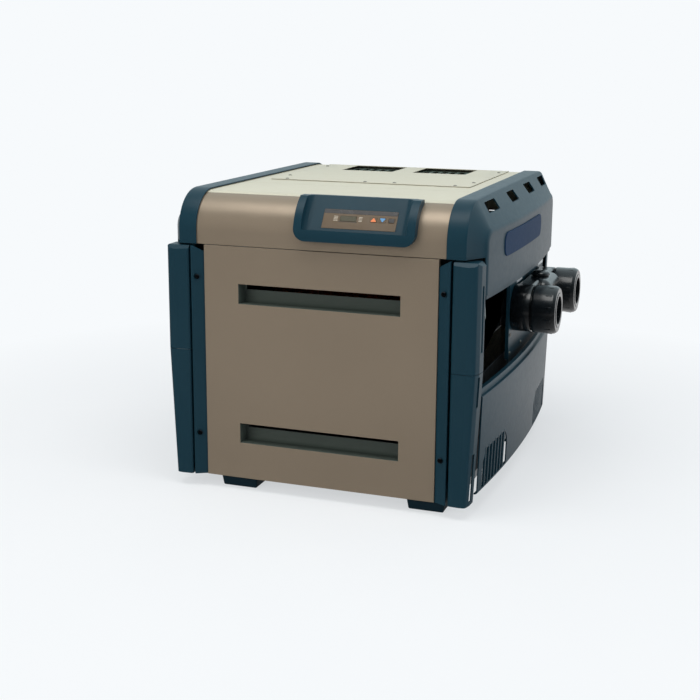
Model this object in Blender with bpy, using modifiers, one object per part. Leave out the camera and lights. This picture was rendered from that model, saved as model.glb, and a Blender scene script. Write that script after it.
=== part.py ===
"""A forced-draught gas heater for a swimming pool, built from its separate pieces.

Sizes are in millimetres and MM turns them into metres. Every piece is placed in the cabinet's own
coordinates: X to the right, Y backwards from the plane of the front panel, Z up from the ground.
The empty called heater_origin then moves the assembly so that its origin is on the ground, under
the middle of everything from the control hood to the rear posts.
"""

import math

import bmesh
import bpy
from mathutils import Matrix, Vector

MM = 0.001
GAP = 0.4

# Cabinet
DEPTH = 749.0
SHEET_TOP = 611.0
CORNER_RADIUS = 75.0
CORNER_Z = SHEET_TOP - CORNER_RADIUS
SHEET_HALF_WIDTH = 266.0
SHEET = 1.5
PLASTIC = 2.6
BASE_Z = 28.0
PANEL_SEAM_Z = 509.0
SEAM_DEGREES = 108.0
TOP_GROOVE_Y = 226.0
FRONT_REACH = 17.0
REAR_REACH = 12.0

# Side mouldings
RIM_RADIUS = CORNER_RADIUS + 4.2
RIM_INNER_X = 258.0
RIM_OUTER_X = 294.0
SIDE_INSET_Y = 43.0
BOW = 19.5
CAP_SIDE_X = 323.5
CAP_BOTTOM_Z = 437.0
CAP_SIDE_TOP_Z = 562.0
LOWER_PANEL_TOP_Z = 240.0
LOWER_PANEL_BOTTOM_Z = 39.0
LOWER_PANEL_BOTTOM_X = 316.5
POST_SPLIT_Z = 292.0
CAP_VENTS = ((105.0, 186.0), (291.0, 355.0), (459.0, 527.0), (616.0, 681.0))
CAP_VENT_Z = (586.0, 606.0)
PORT_PLATE_X = 304.5

# Water circuit
PORT_Z = 346.0
PORT_YS = {"inlet": 636.0, "outlet": 396.0}
EXCHANGER_Y = (290.0, 690.0)
NUT_START_X = 351.0
SOCKET_RADIUS = 30.2

# Blower
BLOWER_X = 130.0
BLOWER_Z = 505.0

# Control hood
HOOD_X = (-45.0, 200.0)
KEYPAD_FOOT = (-5.0, 545.0)
KEYPAD_HEAD = (45.0, 618.0)
POCKET_X = (-12.0, 167.0)
POCKET_FLARE = 17.0
TUB_X = (POCKET_X[0] - POCKET_FLARE - 3.0, POCKET_X[1] + POCKET_FLARE + 3.0)
HOOD_TOP_Z = 613.5
KEYPAD_X = (6.0, 156.0)
KEYPAD_SLOPE = (12.0, 54.0)

COLOURS = {
    "tan_paint": ((0.205, 0.165, 0.122), 0.38, 0.3),
    "cream_paint": ((0.62, 0.58, 0.46), 0.45, 0.0),
    "slate_plastic": ((0.035, 0.075, 0.105), 0.5, 0.0),
    "black_plastic": ((0.012, 0.014, 0.016), 0.25, 0.0),
    "foot_rubber": ((0.01, 0.02, 0.03), 0.7, 0.0),
    "galvanised": ((0.45, 0.46, 0.47), 0.45, 0.9),
    "dark_steel": ((0.06, 0.06, 0.065), 0.5, 0.7),
    "refractory": ((0.55, 0.5, 0.43), 0.9, 0.0),
    "copper": ((0.72, 0.36, 0.22), 0.35, 1.0),
    "brass": ((0.75, 0.52, 0.25), 0.3, 1.0),
    "circuit_green": ((0.03, 0.18, 0.08), 0.5, 0.0),
    "keypad_film": ((0.3, 0.22, 0.2), 0.4, 0.0),
    "lens": ((0.03, 0.04, 0.02), 0.1, 0.0),
    "key_orange": ((0.75, 0.22, 0.05), 0.4, 0.0),
    "key_blue": ((0.1, 0.3, 0.55), 0.4, 0.0),
    "spring_steel": ((0.5, 0.5, 0.5), 0.3, 1.0),
}


# ---------------------------------------------------------------- scene and materials

def clear_scene():
    for obj in list(bpy.data.objects):
        bpy.data.objects.remove(obj, do_unlink=True)


def make_collection(name, shown=True):
    collection = bpy.data.collections.new(name)
    bpy.context.scene.collection.children.link(collection)
    collection.hide_render = not shown
    return collection


def make_materials():
    made = {}
    for name, (colour, roughness, metallic) in COLOURS.items():
        material = bpy.data.materials.new(name)
        material.use_nodes = True
        shader = material.node_tree.nodes["Principled BSDF"]
        shader.inputs["Base Color"].default_value = (*colour, 1.0)
        shader.inputs["Roughness"].default_value = roughness
        shader.inputs["Metallic"].default_value = metallic
        made[name] = material
    return made


clear_scene()
HEATER = make_collection("gas_pool_heater")
CUTTERS = make_collection("cutters", shown=False)
MATERIALS = make_materials()
ORIGIN = bpy.data.objects.new("heater_origin", None)
ORIGIN.location = (0.0, -(DEPTH + REAR_REACH - FRONT_REACH) / 2 * MM, 0.0)
HEATER.objects.link(ORIGIN)


# ---------------------------------------------------------------- shape helpers

def add_object(name, mesh, material=None, parent=None):
    """A piece in the heater's collection or, with no material, a hidden helper shape."""
    obj = bpy.data.objects.new(name, mesh)
    obj.parent = parent or ORIGIN
    if material is None:
        CUTTERS.objects.link(obj)
        obj.hide_render = True
        obj.display_type = "WIRE"
    else:
        HEATER.objects.link(obj)
        mesh.materials.append(MATERIALS[material])
    return obj


def mesh_from(name, bm):
    bmesh.ops.recalc_face_normals(bm, faces=bm.faces)
    mesh = bpy.data.meshes.new(name)
    bm.to_mesh(mesh)
    bm.free()
    return mesh


def block(name, low, high, material=None, parent=None):
    """A box between two corners."""
    low, high = Vector(low) * MM, Vector(high) * MM
    bm = bmesh.new()
    bmesh.ops.create_cube(bm, size=1.0)
    bmesh.ops.scale(bm, verts=bm.verts, vec=high - low)
    bmesh.ops.translate(bm, verts=bm.verts, vec=(low + high) / 2)
    return add_object(name, mesh_from(name, bm), material, parent)


def blocks(name, corners):
    """Several separate boxes in one hidden cutter."""
    bm = bmesh.new()
    for low, high in corners:
        low, high = Vector(low) * MM, Vector(high) * MM
        size = high - low
        placed = Matrix.Translation((low + high) / 2) @ Matrix.Diagonal((*size, 1.0))
        bmesh.ops.create_cube(bm, size=1.0, matrix=placed)
    return add_object(name, mesh_from(name, bm))


def rod(name, start, end, radius, material=None, end_radius=None, segments=24, parent=None):
    """A cylinder or cone from start to end. Its origin is at start, so it turns on its own axis."""
    start, end = Vector(start) * MM, Vector(end) * MM
    along = end - start
    bm = bmesh.new()
    bmesh.ops.create_cone(
        bm, cap_ends=True, segments=segments, depth=along.length,
        radius1=radius * MM, radius2=(radius if end_radius is None else end_radius) * MM,
    )
    bmesh.ops.translate(bm, verts=bm.verts, vec=(0, 0, along.length / 2))
    bmesh.ops.rotate(bm, verts=bm.verts, matrix=along.to_track_quat("Z", "Y").to_matrix())
    obj = add_object(name, mesh_from(name, bm), material, parent)
    obj.location = start
    mesh = obj.data
    mesh.shade_smooth()
    mesh.set_sharp_from_angle(angle=math.radians(35))
    return obj


AXIS_TURN = {
    "x": Matrix(((0, 0, 1), (1, 0, 0), (0, 1, 0))).to_4x4(),
    "y": Matrix(((1, 0, 0), (0, 0, 1), (0, 1, 0))).to_4x4(),
    "z": Matrix.Identity(4),
}


def prism(name, outline, axis, low, high, material=None):
    """A flat outline given in the two other axes, in X, Y, Z order, made thick from low to high."""
    curve = bpy.data.curves.new(name, "CURVE")
    curve.dimensions = "2D"
    curve.fill_mode = "BOTH"
    curve.extrude = (high - low) / 2 * MM
    spline = curve.splines.new("POLY")
    spline.points.add(len(outline) - 1)
    for point, (a, b) in zip(spline.points, outline):
        point.co = (a * MM, b * MM, 0.0, 1.0)
    spline.use_cyclic_u = True
    turn = AXIS_TURN[axis] @ Matrix.Translation((0, 0, (low + high) / 2 * MM))
    return solid_from_curve(name, curve, material, turn)


def pipe(name, points, radius, material=None, roundness=2):
    """A round bar along straight runs between points."""
    curve = bpy.data.curves.new(name, "CURVE")
    curve.dimensions = "3D"
    curve.bevel_depth = radius * MM
    curve.bevel_resolution = roundness
    curve.use_fill_caps = True
    spline = curve.splines.new("POLY")
    spline.points.add(len(points) - 1)
    for point, place in zip(spline.points, points):
        point.co = (*(Vector(place) * MM), 1.0)
    return solid_from_curve(name, curve, material, Matrix.Identity(4))


def solid_from_curve(name, curve, material, turn):
    """The curve's mesh with its caps welded on, ready for a Boolean."""
    holder = bpy.data.objects.new(name + "_curve", curve)
    CUTTERS.objects.link(holder)
    bpy.context.view_layer.update()
    graph = bpy.context.evaluated_depsgraph_get()
    made = bpy.data.meshes.new_from_object(holder.evaluated_get(graph))
    bpy.data.objects.remove(holder, do_unlink=True)
    bm = bmesh.new()
    bm.from_mesh(made)
    bpy.data.meshes.remove(made)
    bmesh.ops.remove_doubles(bm, verts=bm.verts, dist=1e-5)
    bmesh.ops.transform(bm, matrix=turn, verts=bm.verts)
    return add_object(name, mesh_from(name, bm), material)


def turned(name, profile, place, material=None, steps=32, parent=None):
    """A shape turned about the X axis through place. The profile's points are (along X, radius)."""
    bm = bmesh.new()
    verts = [bm.verts.new((radius * MM, 0.0, -along * MM)) for along, radius in profile]
    for first, second in zip(verts, verts[1:] + verts[:1]):
        bm.edges.new((first, second))
    bmesh.ops.spin(
        bm, geom=bm.verts[:] + bm.edges[:], cent=(0, 0, 0), axis=(0, 0, 1),
        angle=math.tau, steps=steps, use_merge=True, use_duplicate=False,
    )
    bmesh.ops.remove_doubles(bm, verts=bm.verts, dist=1e-6)
    bmesh.ops.rotate(bm, verts=bm.verts, matrix=Matrix.Rotation(-math.pi / 2, 3, "Y"))
    obj = add_object(name, mesh_from(name, bm), material, parent)
    obj.location = Vector(place) * MM
    obj.data.shade_smooth()
    obj.data.set_sharp_from_angle(angle=math.radians(35))
    return obj


def boolean(obj, others, operation):
    for other in others:
        modifier = obj.modifiers.new(operation.title() + "_" + other.name, "BOOLEAN")
        modifier.operation = operation
        modifier.object = other
        modifier.solver = "EXACT"
    return obj


def cut(obj, *cutters):
    return boolean(obj, cutters, "DIFFERENCE")


def join(obj, *others):
    return boolean(obj, others, "UNION")


def bevel(obj, width, segments=2, angle=40.0):
    modifier = obj.modifiers.new("Bevel", "BEVEL")
    modifier.width = width * MM
    modifier.segments = segments
    modifier.limit_method = "ANGLE"
    modifier.angle_limit = math.radians(angle)
    return obj


def thicken(obj, thickness, offset=-1.0):
    modifier = obj.modifiers.new("Solidify", "SOLIDIFY")
    modifier.thickness = thickness * MM
    modifier.offset = offset
    modifier.use_even_offset = True
    return obj


def arc(centre, radius, start, end, steps):
    """Points along an arc, in degrees from the first axis towards the second."""
    points = []
    for step in range(steps + 1):
        angle = math.radians(start + (end - start) * step / steps)
        points.append((centre[0] + radius * math.cos(angle), centre[1] + radius * math.sin(angle)))
    return points


def sheet_from_rows(name, rows, material, outward):
    """An open sheet through rows of points."""
    bm = bmesh.new()
    grid = [[bm.verts.new(Vector(point) * MM) for point in row] for row in rows]
    for upper, lower in zip(grid, grid[1:]):
        bridge(bm, upper, lower)
    bmesh.ops.remove_doubles(bm, verts=bm.verts, dist=1e-6)
    return open_sheet(name, bm, material, outward)


def open_sheet(name, bm, material, outward):
    """Turns the sheet's faces outwards, so that Solidify thickens it on the inside."""
    bmesh.ops.recalc_face_normals(bm, faces=bm.faces)
    if sum(face.normal.dot(Vector(outward)) * face.calc_area() for face in bm.faces) < 0:
        bmesh.ops.reverse_faces(bm, faces=bm.faces)
    mesh = bpy.data.meshes.new(name)
    bm.to_mesh(mesh)
    bm.free()
    mesh.shade_smooth()
    mesh.set_sharp_from_angle(angle=math.radians(25))
    return add_object(name, mesh, material)


SIDES = {"left": -1.0, "right": 1.0}


SLOT_HALF_LENGTH = 169.0
SLOTS = ((393.0, 433.0), (103.0, 144.0))
SLOT_DEPTH = 35.0


# ---------------------------------------------------------------- base, feet and frame

def make_base_pan():
    pan = block("base_pan", (-286, 17, BASE_Z), (286, 732, 46), "galvanised")
    cut(pan, block("pan_hollow", (-284, 19, BASE_Z + 2), (284, 730, 60)))


def make_foot(name, low_x, high_x, low_y, high_y):
    """A moulded foot, a little wider at the top than at the ground."""
    flare = 4.0
    foot = block(name, (low_x, low_y, 0), (high_x, high_y, BASE_Z - GAP), "foot_rubber")
    middle = Vector(((low_x + high_x) / 2, (low_y + high_y) / 2, 0)) * MM
    for vertex in foot.data.vertices:
        if vertex.co.z > 10 * MM:
            vertex.co.x += math.copysign(flare * MM, vertex.co.x - middle.x)
            vertex.co.y += math.copysign(flare * MM, vertex.co.y - middle.y)
    bevel(foot, 3.0, segments=2)


def make_feet():
    make_foot("foot_front_left", -217, -143, 19, 95)
    make_foot("foot_front_right", 186, 258, 19, 95)
    make_foot("foot_rear_left", -306, -234, 510, 640)
    make_foot("foot_rear_right", 234, 306, 510, 640)


def make_cabinet_frame():
    """Front portal, two side walls and the equipment shelf, welded into one frame.

    The shelf is notched in front so that the upper louvre pocket clears it.
    """
    frame = block("cabinet_frame", (-272, 17, 47), (272, 19, 506), "galvanised")
    cut(frame, block("frame_doorway", (-246, 10, 47 + 18), (246, 25, 490)))
    for side, sign in SIDES.items():
        join(frame, wall_with_opening(side, sign))
    shelf = block("frame_shelf", (-287.5, 18.5, 428), (287.5, 240, 430))
    notch = ((-SLOT_HALF_LENGTH - 7, 10, 420), (SLOT_HALF_LENGTH + 7, SLOT_DEPTH + 7, 440))
    duct_hole = ((148, 116, 420), (200, 184, 440))
    cut(shelf, blocks("shelf_openings", [notch, duct_hole]))
    join(frame, shelf)
    for sign in SIDES.values():
        for z in SCREW_ZS:
            x = sign * SCREW_X
            hole = rod(f"frame_screw_hole_{x:.0f}_{z:.0f}", (x, 10, z), (x, 25, z), 2.6, segments=12)
            cut(frame, hole)


def wall_with_opening(side, sign):
    x = sorted((sign * 270.0, sign * 288.0))
    wall = block(f"frame_wall_{side}", (x[0], 18, 47), (x[1], 732, 560))
    hollow_x = sorted((sign * 260.0, sign * 286.5))
    cut(wall, block(f"frame_wall_hollow_{side}", (hollow_x[0], 19.5, 40), (hollow_x[1], 740, 570)))
    far = (x[0] - 20, x[1] + 20)
    openings = [((far[0], 66, 246), (far[1], 705, 427))]
    openings += [((far[0], 10, 486), (far[1], 48, 570)), ((far[0], DEPTH - 48, 486), (far[1], DEPTH, 570))]
    cut(wall, blocks(f"frame_openings_{side}", openings))
    return wall


# ---------------------------------------------------------------- painted sheet panels

PANEL_HALF_WIDTH = 243.5
PANEL_Z = (27.0, PANEL_SEAM_Z - 0.7)


def make_front_access_panel():
    """A folded tray with two openings, each with a pocket welded on behind it."""
    wide, (low, high) = PANEL_HALF_WIDTH, PANEL_Z
    panel = block("front_access_panel", (-wide, 0, low), (wide, 14, high), "tan_paint")
    inside = (wide - SHEET, 30, high - SHEET)
    cut(panel, block("panel_hollow", (-inside[0], SHEET, low + SHEET), inside))
    for index, (low, high) in enumerate(SLOTS):
        join(panel, louvre_pocket(index, low, high))
        cut(panel, louvre_hollow(index, low, high))
        cut(panel, louvre_gap(index, low, high))


def louvre_pocket(index, low, high):
    far = SLOT_HALF_LENGTH + SHEET
    return block(f"louvre_{index}", (-far, 0.7, low - SHEET), (far, SLOT_DEPTH + SHEET, high + SHEET))


def louvre_hollow(index, low, high):
    """The pocket's inside, with its floor curving up into its back."""
    bend = 9.0
    outline = [(-2, low)] + arc((SLOT_DEPTH - bend, low + bend), bend, 270, 360, 5)
    outline += [(SLOT_DEPTH, high), (-2, high)]
    return prism(f"louvre_hollow_{index}", outline, "x", -SLOT_HALF_LENGTH, SLOT_HALF_LENGTH)


def louvre_gap(index, low, high):
    """The air gap along the top of the pocket's back."""
    far = SLOT_HALF_LENGTH - 3
    corners = (-far, SLOT_DEPTH - 5, low + 18), (far, SLOT_DEPTH + 5, high - 1)
    return block(f"louvre_gap_{index}", *corners)


FRONT_CORNER = (CORNER_RADIUS, CORNER_Z)
REAR_CORNER = (DEPTH - CORNER_RADIUS, CORNER_Z)
SEAM_GAP_DEGREES = 0.5
UPPER_SHEET_BOTTOM = PANEL_SEAM_Z + 0.7


def bent_sheet(path):
    """A sheet's section, from its outer face's path and the same path drawn one thickness inwards."""
    return path(CORNER_RADIUS) + path(CORNER_RADIUS - SHEET)[::-1]


def upper_front_path(radius):
    """In Y and Z: up the front, then round the corner to the seam."""
    start = [(CORNER_RADIUS - radius, UPPER_SHEET_BOTTOM)]
    return start + arc(FRONT_CORNER, radius, 180, SEAM_DEGREES + SEAM_GAP_DEGREES, 8)


def top_path(radius):
    """In Y and Z: from the seam back along the top, then down round the rear corner."""
    points = arc(FRONT_CORNER, radius, SEAM_DEGREES - SEAM_GAP_DEGREES, 90, 3)
    points += arc(REAR_CORNER, radius, 90, 0, 10)
    return points + [(DEPTH - CORNER_RADIUS + radius, UPPER_SHEET_BOTTOM)]


def make_upper_front_panel():
    """The rounded upper front, notched from its top edge where the hood's tub drops in."""
    outline = bent_sheet(upper_front_path)
    panel = prism("upper_front_panel", outline, "x", -SHEET_HALF_WIDTH, SHEET_HALF_WIDTH, "tan_paint")
    cut(panel, block("keypad_opening", (TUB_X[0] - 3, -30, 538), (TUB_X[1] + 3, 66, 640)))


VENTS = ((-150.0, -24.0), (24.0, 150.0))
VENT_Y = (547.0, 668.0)


def make_top_panel():
    """Flat top with a pressed groove across it and its rear edge bent down."""
    outline = bent_sheet(top_path)
    panel = prism("top_panel", outline, "x", -SHEET_HALF_WIDTH, SHEET_HALF_WIDTH, "cream_paint")
    groove_low = (-SHEET_HALF_WIDTH - 5, TOP_GROOVE_Y - 0.8, SHEET_TOP - 0.8)
    cut(panel, block("top_groove", groove_low, (SHEET_HALF_WIDTH + 5, TOP_GROOVE_Y + 0.8, SHEET_TOP + 5)))
    cut(panel, block("top_flue_opening", (-154, VENT_Y[0] - 4, 590), (154, VENT_Y[1] + 4, 630)))


def make_exhaust_cover():
    cover = block("exhaust_cover", (-224, 300, SHEET_TOP + GAP), (224, 673, SHEET_TOP + 2.0), "cream_paint")
    for index, (low, high) in enumerate(VENTS):
        cut(cover, block(f"vent_{index}", (low, VENT_Y[0], 600), (high, VENT_Y[1], 630)))


def make_exhaust_grille():
    """A slotted plate under the cover's two openings."""
    low, high = (-168, VENT_Y[0] - 15, 604), (168, VENT_Y[1] + 10, 606)
    grille = block("exhaust_grille", low, high, "dark_steel")
    pitch = 21.0
    edges = [start + 2 + bar * pitch for start, end in VENTS for bar in range(6)]
    slots = [((x, VENT_Y[0] + 2, 600), (x + 15, VENT_Y[1] - 2, 610)) for x in edges]
    cut(grille, blocks("grille_slots", slots))


def make_rear_panel():
    panel = block("rear_panel", (-262, DEPTH - 14, 27), (262, DEPTH, PANEL_SEAM_Z - 0.7), "tan_paint")
    cut(panel, block("rear_hollow", (-260.5, DEPTH - 30, 28.5), (260.5, DEPTH - SHEET, PANEL_SEAM_Z - 2.2)))
    places = [(x, 120 + row * 18) for row in range(5) for x in (-150.0, 30.0)]
    slots = [((x, DEPTH - 6, z), (x + 120, DEPTH + 6, z + 6)) for x, z in places]
    cut(panel, blocks("rear_slots", slots))


# ---------------------------------------------------------------- plastic side mouldings

def bow_x(base_x, y):
    """The side faces bow outwards between the front and the rear."""
    middle = DEPTH / 2
    return base_x + BOW * (1 - ((y - middle) / middle) ** 2)


def mirrored_rear(points):
    """Front-half points in Y and Z, followed by the same points mirrored to the rear."""
    return points + [(DEPTH - y, z) for y, z in reversed(points)]


def rim_outline(inset):
    """The cap's outline over the top of the cabinet, drawn inwards by inset."""
    radius = RIM_RADIUS - inset
    points = [(CORNER_RADIUS - radius, 510.0)]
    points += arc((CORNER_RADIUS, CORNER_Z), radius, 180, 90, 7)
    points += [(y, CORNER_Z + radius) for y in (150.0, 262.0)]
    return mirrored_rear(points)


def side_outline(inset, radius):
    """The outline of the cap's side face, drawn inwards by inset."""
    edge = SIDE_INSET_Y + inset
    top = CAP_SIDE_TOP_Z - inset
    points = [(edge, 510.0)]
    points += arc((edge + radius, top - radius), radius, 180, 90, 7)
    points += [(y, top) for y in (150.0, 262.0)]
    return mirrored_rear(points)


def make_end_cap(side, sign):
    """The rim wraps over the top edge, then slopes out to the bowed side face."""
    cap = end_cap_shell(side, sign)
    thicken(cap, PLASTIC)
    x = sorted((sign * 296.0, sign * 352.0))
    vents = [((x[0], near, CAP_VENT_Z[0]), (x[1], far, CAP_VENT_Z[1])) for near, far in CAP_VENTS]
    cut(cap, blocks(f"cap_vents_{side}", vents))


def end_cap_shell(side, sign):
    """Bands of faces from the rim's inner edge to the side face, then the side face's columns."""
    bm = bmesh.new()
    rim_steps = ((RIM_INNER_X, 0.6), (RIM_INNER_X + 3, 0.0), (RIM_OUTER_X, 0.0), (RIM_OUTER_X + 4, 1.6))
    bands = [[(sign * x, y, z) for y, z in rim_outline(inset)] for x, inset in rim_steps]
    for inset, radius, drop in ((0.0, 26.0, 3.5), (8.0, 20.0, 0.0)):
        bands.append([(sign * (bow_x(CAP_SIDE_X, y) - drop), y, z) for y, z in side_outline(inset, radius)])
    grid = [[bm.verts.new(Vector(point) * MM) for point in band] for band in bands]
    for upper, lower in zip(grid, grid[1:]):
        bridge(bm, upper, lower)
    shoulder, crown = grid[-2], grid[-1]
    ends = [row[end] for row in (shoulder, crown) for end in (0, -1)]
    feet = [drop_vertex(bm, vertex, sign, 0.0, CAP_BOTTOM_Z) for vertex in ends]
    bm.faces.new((shoulder[0], crown[0], feet[2], feet[0]))
    bm.faces.new((crown[-1], shoulder[-1], feet[1], feet[3]))
    columns = crown[1:-1]
    base = [drop_vertex(bm, vertex, sign, 0.0, CAP_BOTTOM_Z) for vertex in columns[1:-1]]
    base = [feet[2]] + base + [feet[3]]
    bm.faces.new((crown[0], columns[0], columns[1], base[1], base[0]))
    bridge(bm, columns[1:-1], base[1:-1])
    bm.faces.new((columns[-2], columns[-1], crown[-1], base[-1], base[-2]))
    lip = [drop_vertex(bm, vertex, sign, 3.2, CAP_BOTTOM_Z - 0.5) for vertex in base]
    bridge(bm, base, lip)
    bridge(bm, lip, [drop_vertex(bm, vertex, sign, 0.0, CAP_BOTTOM_Z - 9) for vertex in lip])
    return open_sheet(f"{side}_end_cap", bm, "slate_plastic", (sign, 0, 0))


def bridge(bm, upper, lower):
    for i in range(len(upper) - 1):
        bm.faces.new((upper[i], upper[i + 1], lower[i + 1], lower[i]))


def drop_vertex(bm, vertex, sign, inward, z):
    """A new vertex straight below another one, at height z and moved inwards."""
    return bm.verts.new((vertex.co.x - sign * inward * MM, vertex.co.y, z * MM))


LOUVRE_START_Y = 70.0
LOUVRE_PITCH = 22.5
LOUVRE_COUNT = 8
LOUVRE_TOP_Z = 123.0


def louvre_top(reach):
    """The louvres' height at a distance from the cabinet's front or rear: flat, and lower at both ends."""
    outer_drop = 24.0 * max(0.0, (84.0 - reach) / 20.0)
    inner_drop = 26.0 * (max(0.0, reach - 190.0) / 38.0) ** 2
    return LOUVRE_TOP_Z - outer_drop - inner_drop


def make_lower_side_panel(side, sign):
    """A bowed panel that leans in towards the ground, with a stepped ledge along its top."""
    steps = 8
    front, rear = 40.0, DEPTH - 40.0
    levels = (
        (LOWER_PANEL_BOTTOM_Z, LOWER_PANEL_BOTTOM_X - 8),
        (LOWER_PANEL_BOTTOM_Z + 3, LOWER_PANEL_BOTTOM_X),
        (140.0, (LOWER_PANEL_BOTTOM_X + CAP_SIDE_X) / 2),
        (LOWER_PANEL_TOP_Z, CAP_SIDE_X),
        (LOWER_PANEL_TOP_Z + 3, CAP_SIDE_X - 5),
        (LOWER_PANEL_TOP_Z + 12, CAP_SIDE_X - 6),
        (LOWER_PANEL_TOP_Z + 13, CAP_SIDE_X - 16),
    )
    rows = []
    for z, base_x in levels:
        ys = [front + (rear - front) * step / steps for step in range(steps + 1)]
        rows.append([(sign * bow_x(base_x, y), y, z) for y in ys])
    panel = sheet_from_rows(f"{side}_lower_side_panel", rows, "slate_plastic", (sign, 0, 0))
    thicken(panel, PLASTIC)
    x = sorted((sign * 290.0, sign * 360.0))
    slots = []
    for index in range(LOUVRE_COUNT):
        reach = LOUVRE_START_Y + index * LOUVRE_PITCH
        for y in (reach, DEPTH - reach):
            slots.append(((x[0], y - 3, 50), (x[1], y + 3, louvre_top(reach))))
    cut(panel, blocks(f"side_louvres_{side}", slots))


POST_X = 273.5
POST_TOP_Z = 506.0
POST_CHAMFER = 8.0
REAR_POST_WIDTH = 0.75
POST_OUTER = ((273.5, -7.5), (276, -10), (305, -12), (316, -10.5), (322, -3.5), (326, 7), (327.5, 30))
POST_INNER = ((276.5, -5.5), (278, -7.2), (304, -9.2), (314, -7.8), (319.2, -2), (323, 8), (324.5, 31))


def post_solid(name, low, high, sign, front_y, material=None, cavity=False):
    """A corner moulding's outline, or the cavity inside it, raised from low to high."""
    width = 1.0 if front_y == 0.0 else REAR_POST_WIDTH
    outline = POST_INNER + ((300, 44), (276.5, 24)) if cavity else POST_OUTER + ((300, 30), (273.5, 12))
    turn = 1.0 if front_y == 0.0 else -1.0
    places = [(sign * (POST_X + (x - POST_X) * width), front_y + turn * y) for x, y in outline]
    return prism(name, places, "z", low, high, material)


def lean_in(obj, low_z, high_z, amount, sign):
    """Draws the outer side in towards the ground."""
    width = 317.0 - POST_X
    for vertex in obj.data.vertices:
        share = (high_z * MM - vertex.co.z) / ((high_z - low_z) * MM)
        reach = (abs(vertex.co.x) / MM - POST_X) / width
        vertex.co.x -= sign * amount * MM * max(share, 0.0) * reach


def chamfer_top(post, outer_x, outer_y):
    """Takes the front and outer top edges off at 45 degrees. The signs of the places give the sides."""
    rise = 24.0
    high, low = POST_TOP_Z + POST_CHAMFER, POST_TOP_Z + POST_CHAMFER - rise
    inner_x = outer_x - math.copysign(rise, outer_x)
    inner_y = outer_y + (rise if outer_y < 0 else -rise)
    endways = [(outer_y, low), (inner_y, high), (outer_y, high)]
    facing = prism(post.name + "_chamfer_y", endways, "x", -400, 400)
    sideways = [(outer_x, low), (inner_x, high), (outer_x, high)]
    cut(post, facing, prism(post.name + "_chamfer_x", sideways, "y", -50, DEPTH + 50))


def make_front_posts(side, sign):
    upper_low = POST_SPLIT_Z + 0.7
    upper = post_solid(f"front_corner_post_upper_{side}", upper_low, POST_TOP_Z, sign, 0.0, "slate_plastic")
    cavity_top = POST_TOP_Z - 12
    cut(upper, post_solid(f"post_cavity_upper_{side}", upper_low - 5, cavity_top, sign, 0.0, cavity=True))
    chamfer_top(upper, sign * 335.5, -20.0)
    low, high = 27.0, POST_SPLIT_Z
    lower = post_solid(f"front_corner_post_lower_{side}", low, high, sign, 0.0, "slate_plastic")
    cavity = post_solid(f"post_cavity_lower_{side}", low - 5, high + 5, sign, 0.0, cavity=True)
    for shape in (lower, cavity):
        lean_in(shape, low, high, 10.4, sign)
    cut(lower, cavity)


def make_rear_post(side, sign):
    """One moulding for the full height, narrower than the front ones."""
    low = 27.0
    post = post_solid(f"rear_corner_post_{side}", low, POST_TOP_Z, sign, DEPTH, "slate_plastic")
    cavity = post_solid(f"post_cavity_rear_{side}", low - 5, POST_TOP_Z - 12, sign, DEPTH, cavity=True)
    for shape in (post, cavity):
        lean_in(shape, low, POST_TOP_Z, 8.0, sign)
    cut(post, cavity)
    chamfer_top(post, sign * 322.0, DEPTH + 20.0)


STRIP_SECTION = (
    (244, 14), (244, 2.5), (256, -4), (266.5, -10), (269, -9), (269, 14),
    (266, 14), (266, -6.4), (256, -0.8), (247, 4.4), (247, 14),
)
SCREW_X = 256.0
SCREW_ZS = (444.0, 117.0)


def make_trim_strip(side, sign):
    low, high = 27.3, 493.0
    outline = [(sign * x, y) for x, y in STRIP_SECTION]
    strip = prism(f"trim_strip_{side}", outline, "z", low, high, "slate_plastic")
    for vertex in strip.data.vertices:
        if vertex.co.z > (high - 1) * MM:
            vertex.co.z += (abs(vertex.co.x) / MM - 244) / 25 * 13.5 * MM
    for z in SCREW_ZS:
        x = sign * SCREW_X
        cut(strip, rod(f"strip_hole_{side}_{z:.0f}", (x, -20, z), (x, 13, z), 2.6, segments=12))


def make_panel_screw(side, sign, level, z):
    x = sign * SCREW_X
    head = (x, -10.2, z), (x, -7.5, z)
    screw = rod(f"panel_screw_{level}_{side}", *head, 4.2, "dark_steel", end_radius=5.2, segments=12)
    join(screw, rod(f"screw_shank_{level}_{side}", (x, -8, z), (x, 22, z), 2.1, segments=8))


def make_service_plate(side, sign):
    """The flat plate that closes the rear of the side opening."""
    start_y = 345.0 if side == "right" else 68.0
    x = sorted((sign * PORT_PLATE_X, sign * (PORT_PLATE_X + 2.5)))
    plate = block(f"{side}_service_plate", (x[0], start_y, 232), (x[1], 704, 442), "slate_plastic")
    fold_x = sorted((sign * 299.0, sign * (PORT_PLATE_X + 1.0)))
    join(plate, block(f"plate_fold_{side}", (fold_x[0], start_y, 240), (fold_x[1], start_y + 2.5, 434)))
    if side == "right":
        for port, y in PORT_YS.items():
            cut(plate, rod(f"plate_hole_{port}", (295, y, PORT_Z), (320, y, PORT_Z), 47.5, segments=24))
        cut(plate, block("plate_bypass_gap", (295, 396, 310), (320, 636, 384)))
    else:
        cut(plate, rod("plate_gas_hole", (-320, 230, 330), (-295, 230, 330), 15.0, segments=24))


# ---------------------------------------------------------------- control hood

SLOPE_LENGTH = math.dist(KEYPAD_FOOT, KEYPAD_HEAD)


def chord_point(share, outward=0.0):
    """A point on the keypad's sloping plane, in Y and Z, from its foot (0) to its head (1)."""
    foot, head = Vector(KEYPAD_FOOT), Vector(KEYPAD_HEAD)
    run = head - foot
    normal = Vector((-run.y, run.x)).normalized()
    place = foot + run * share + normal * outward
    return place.x, place.y


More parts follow.
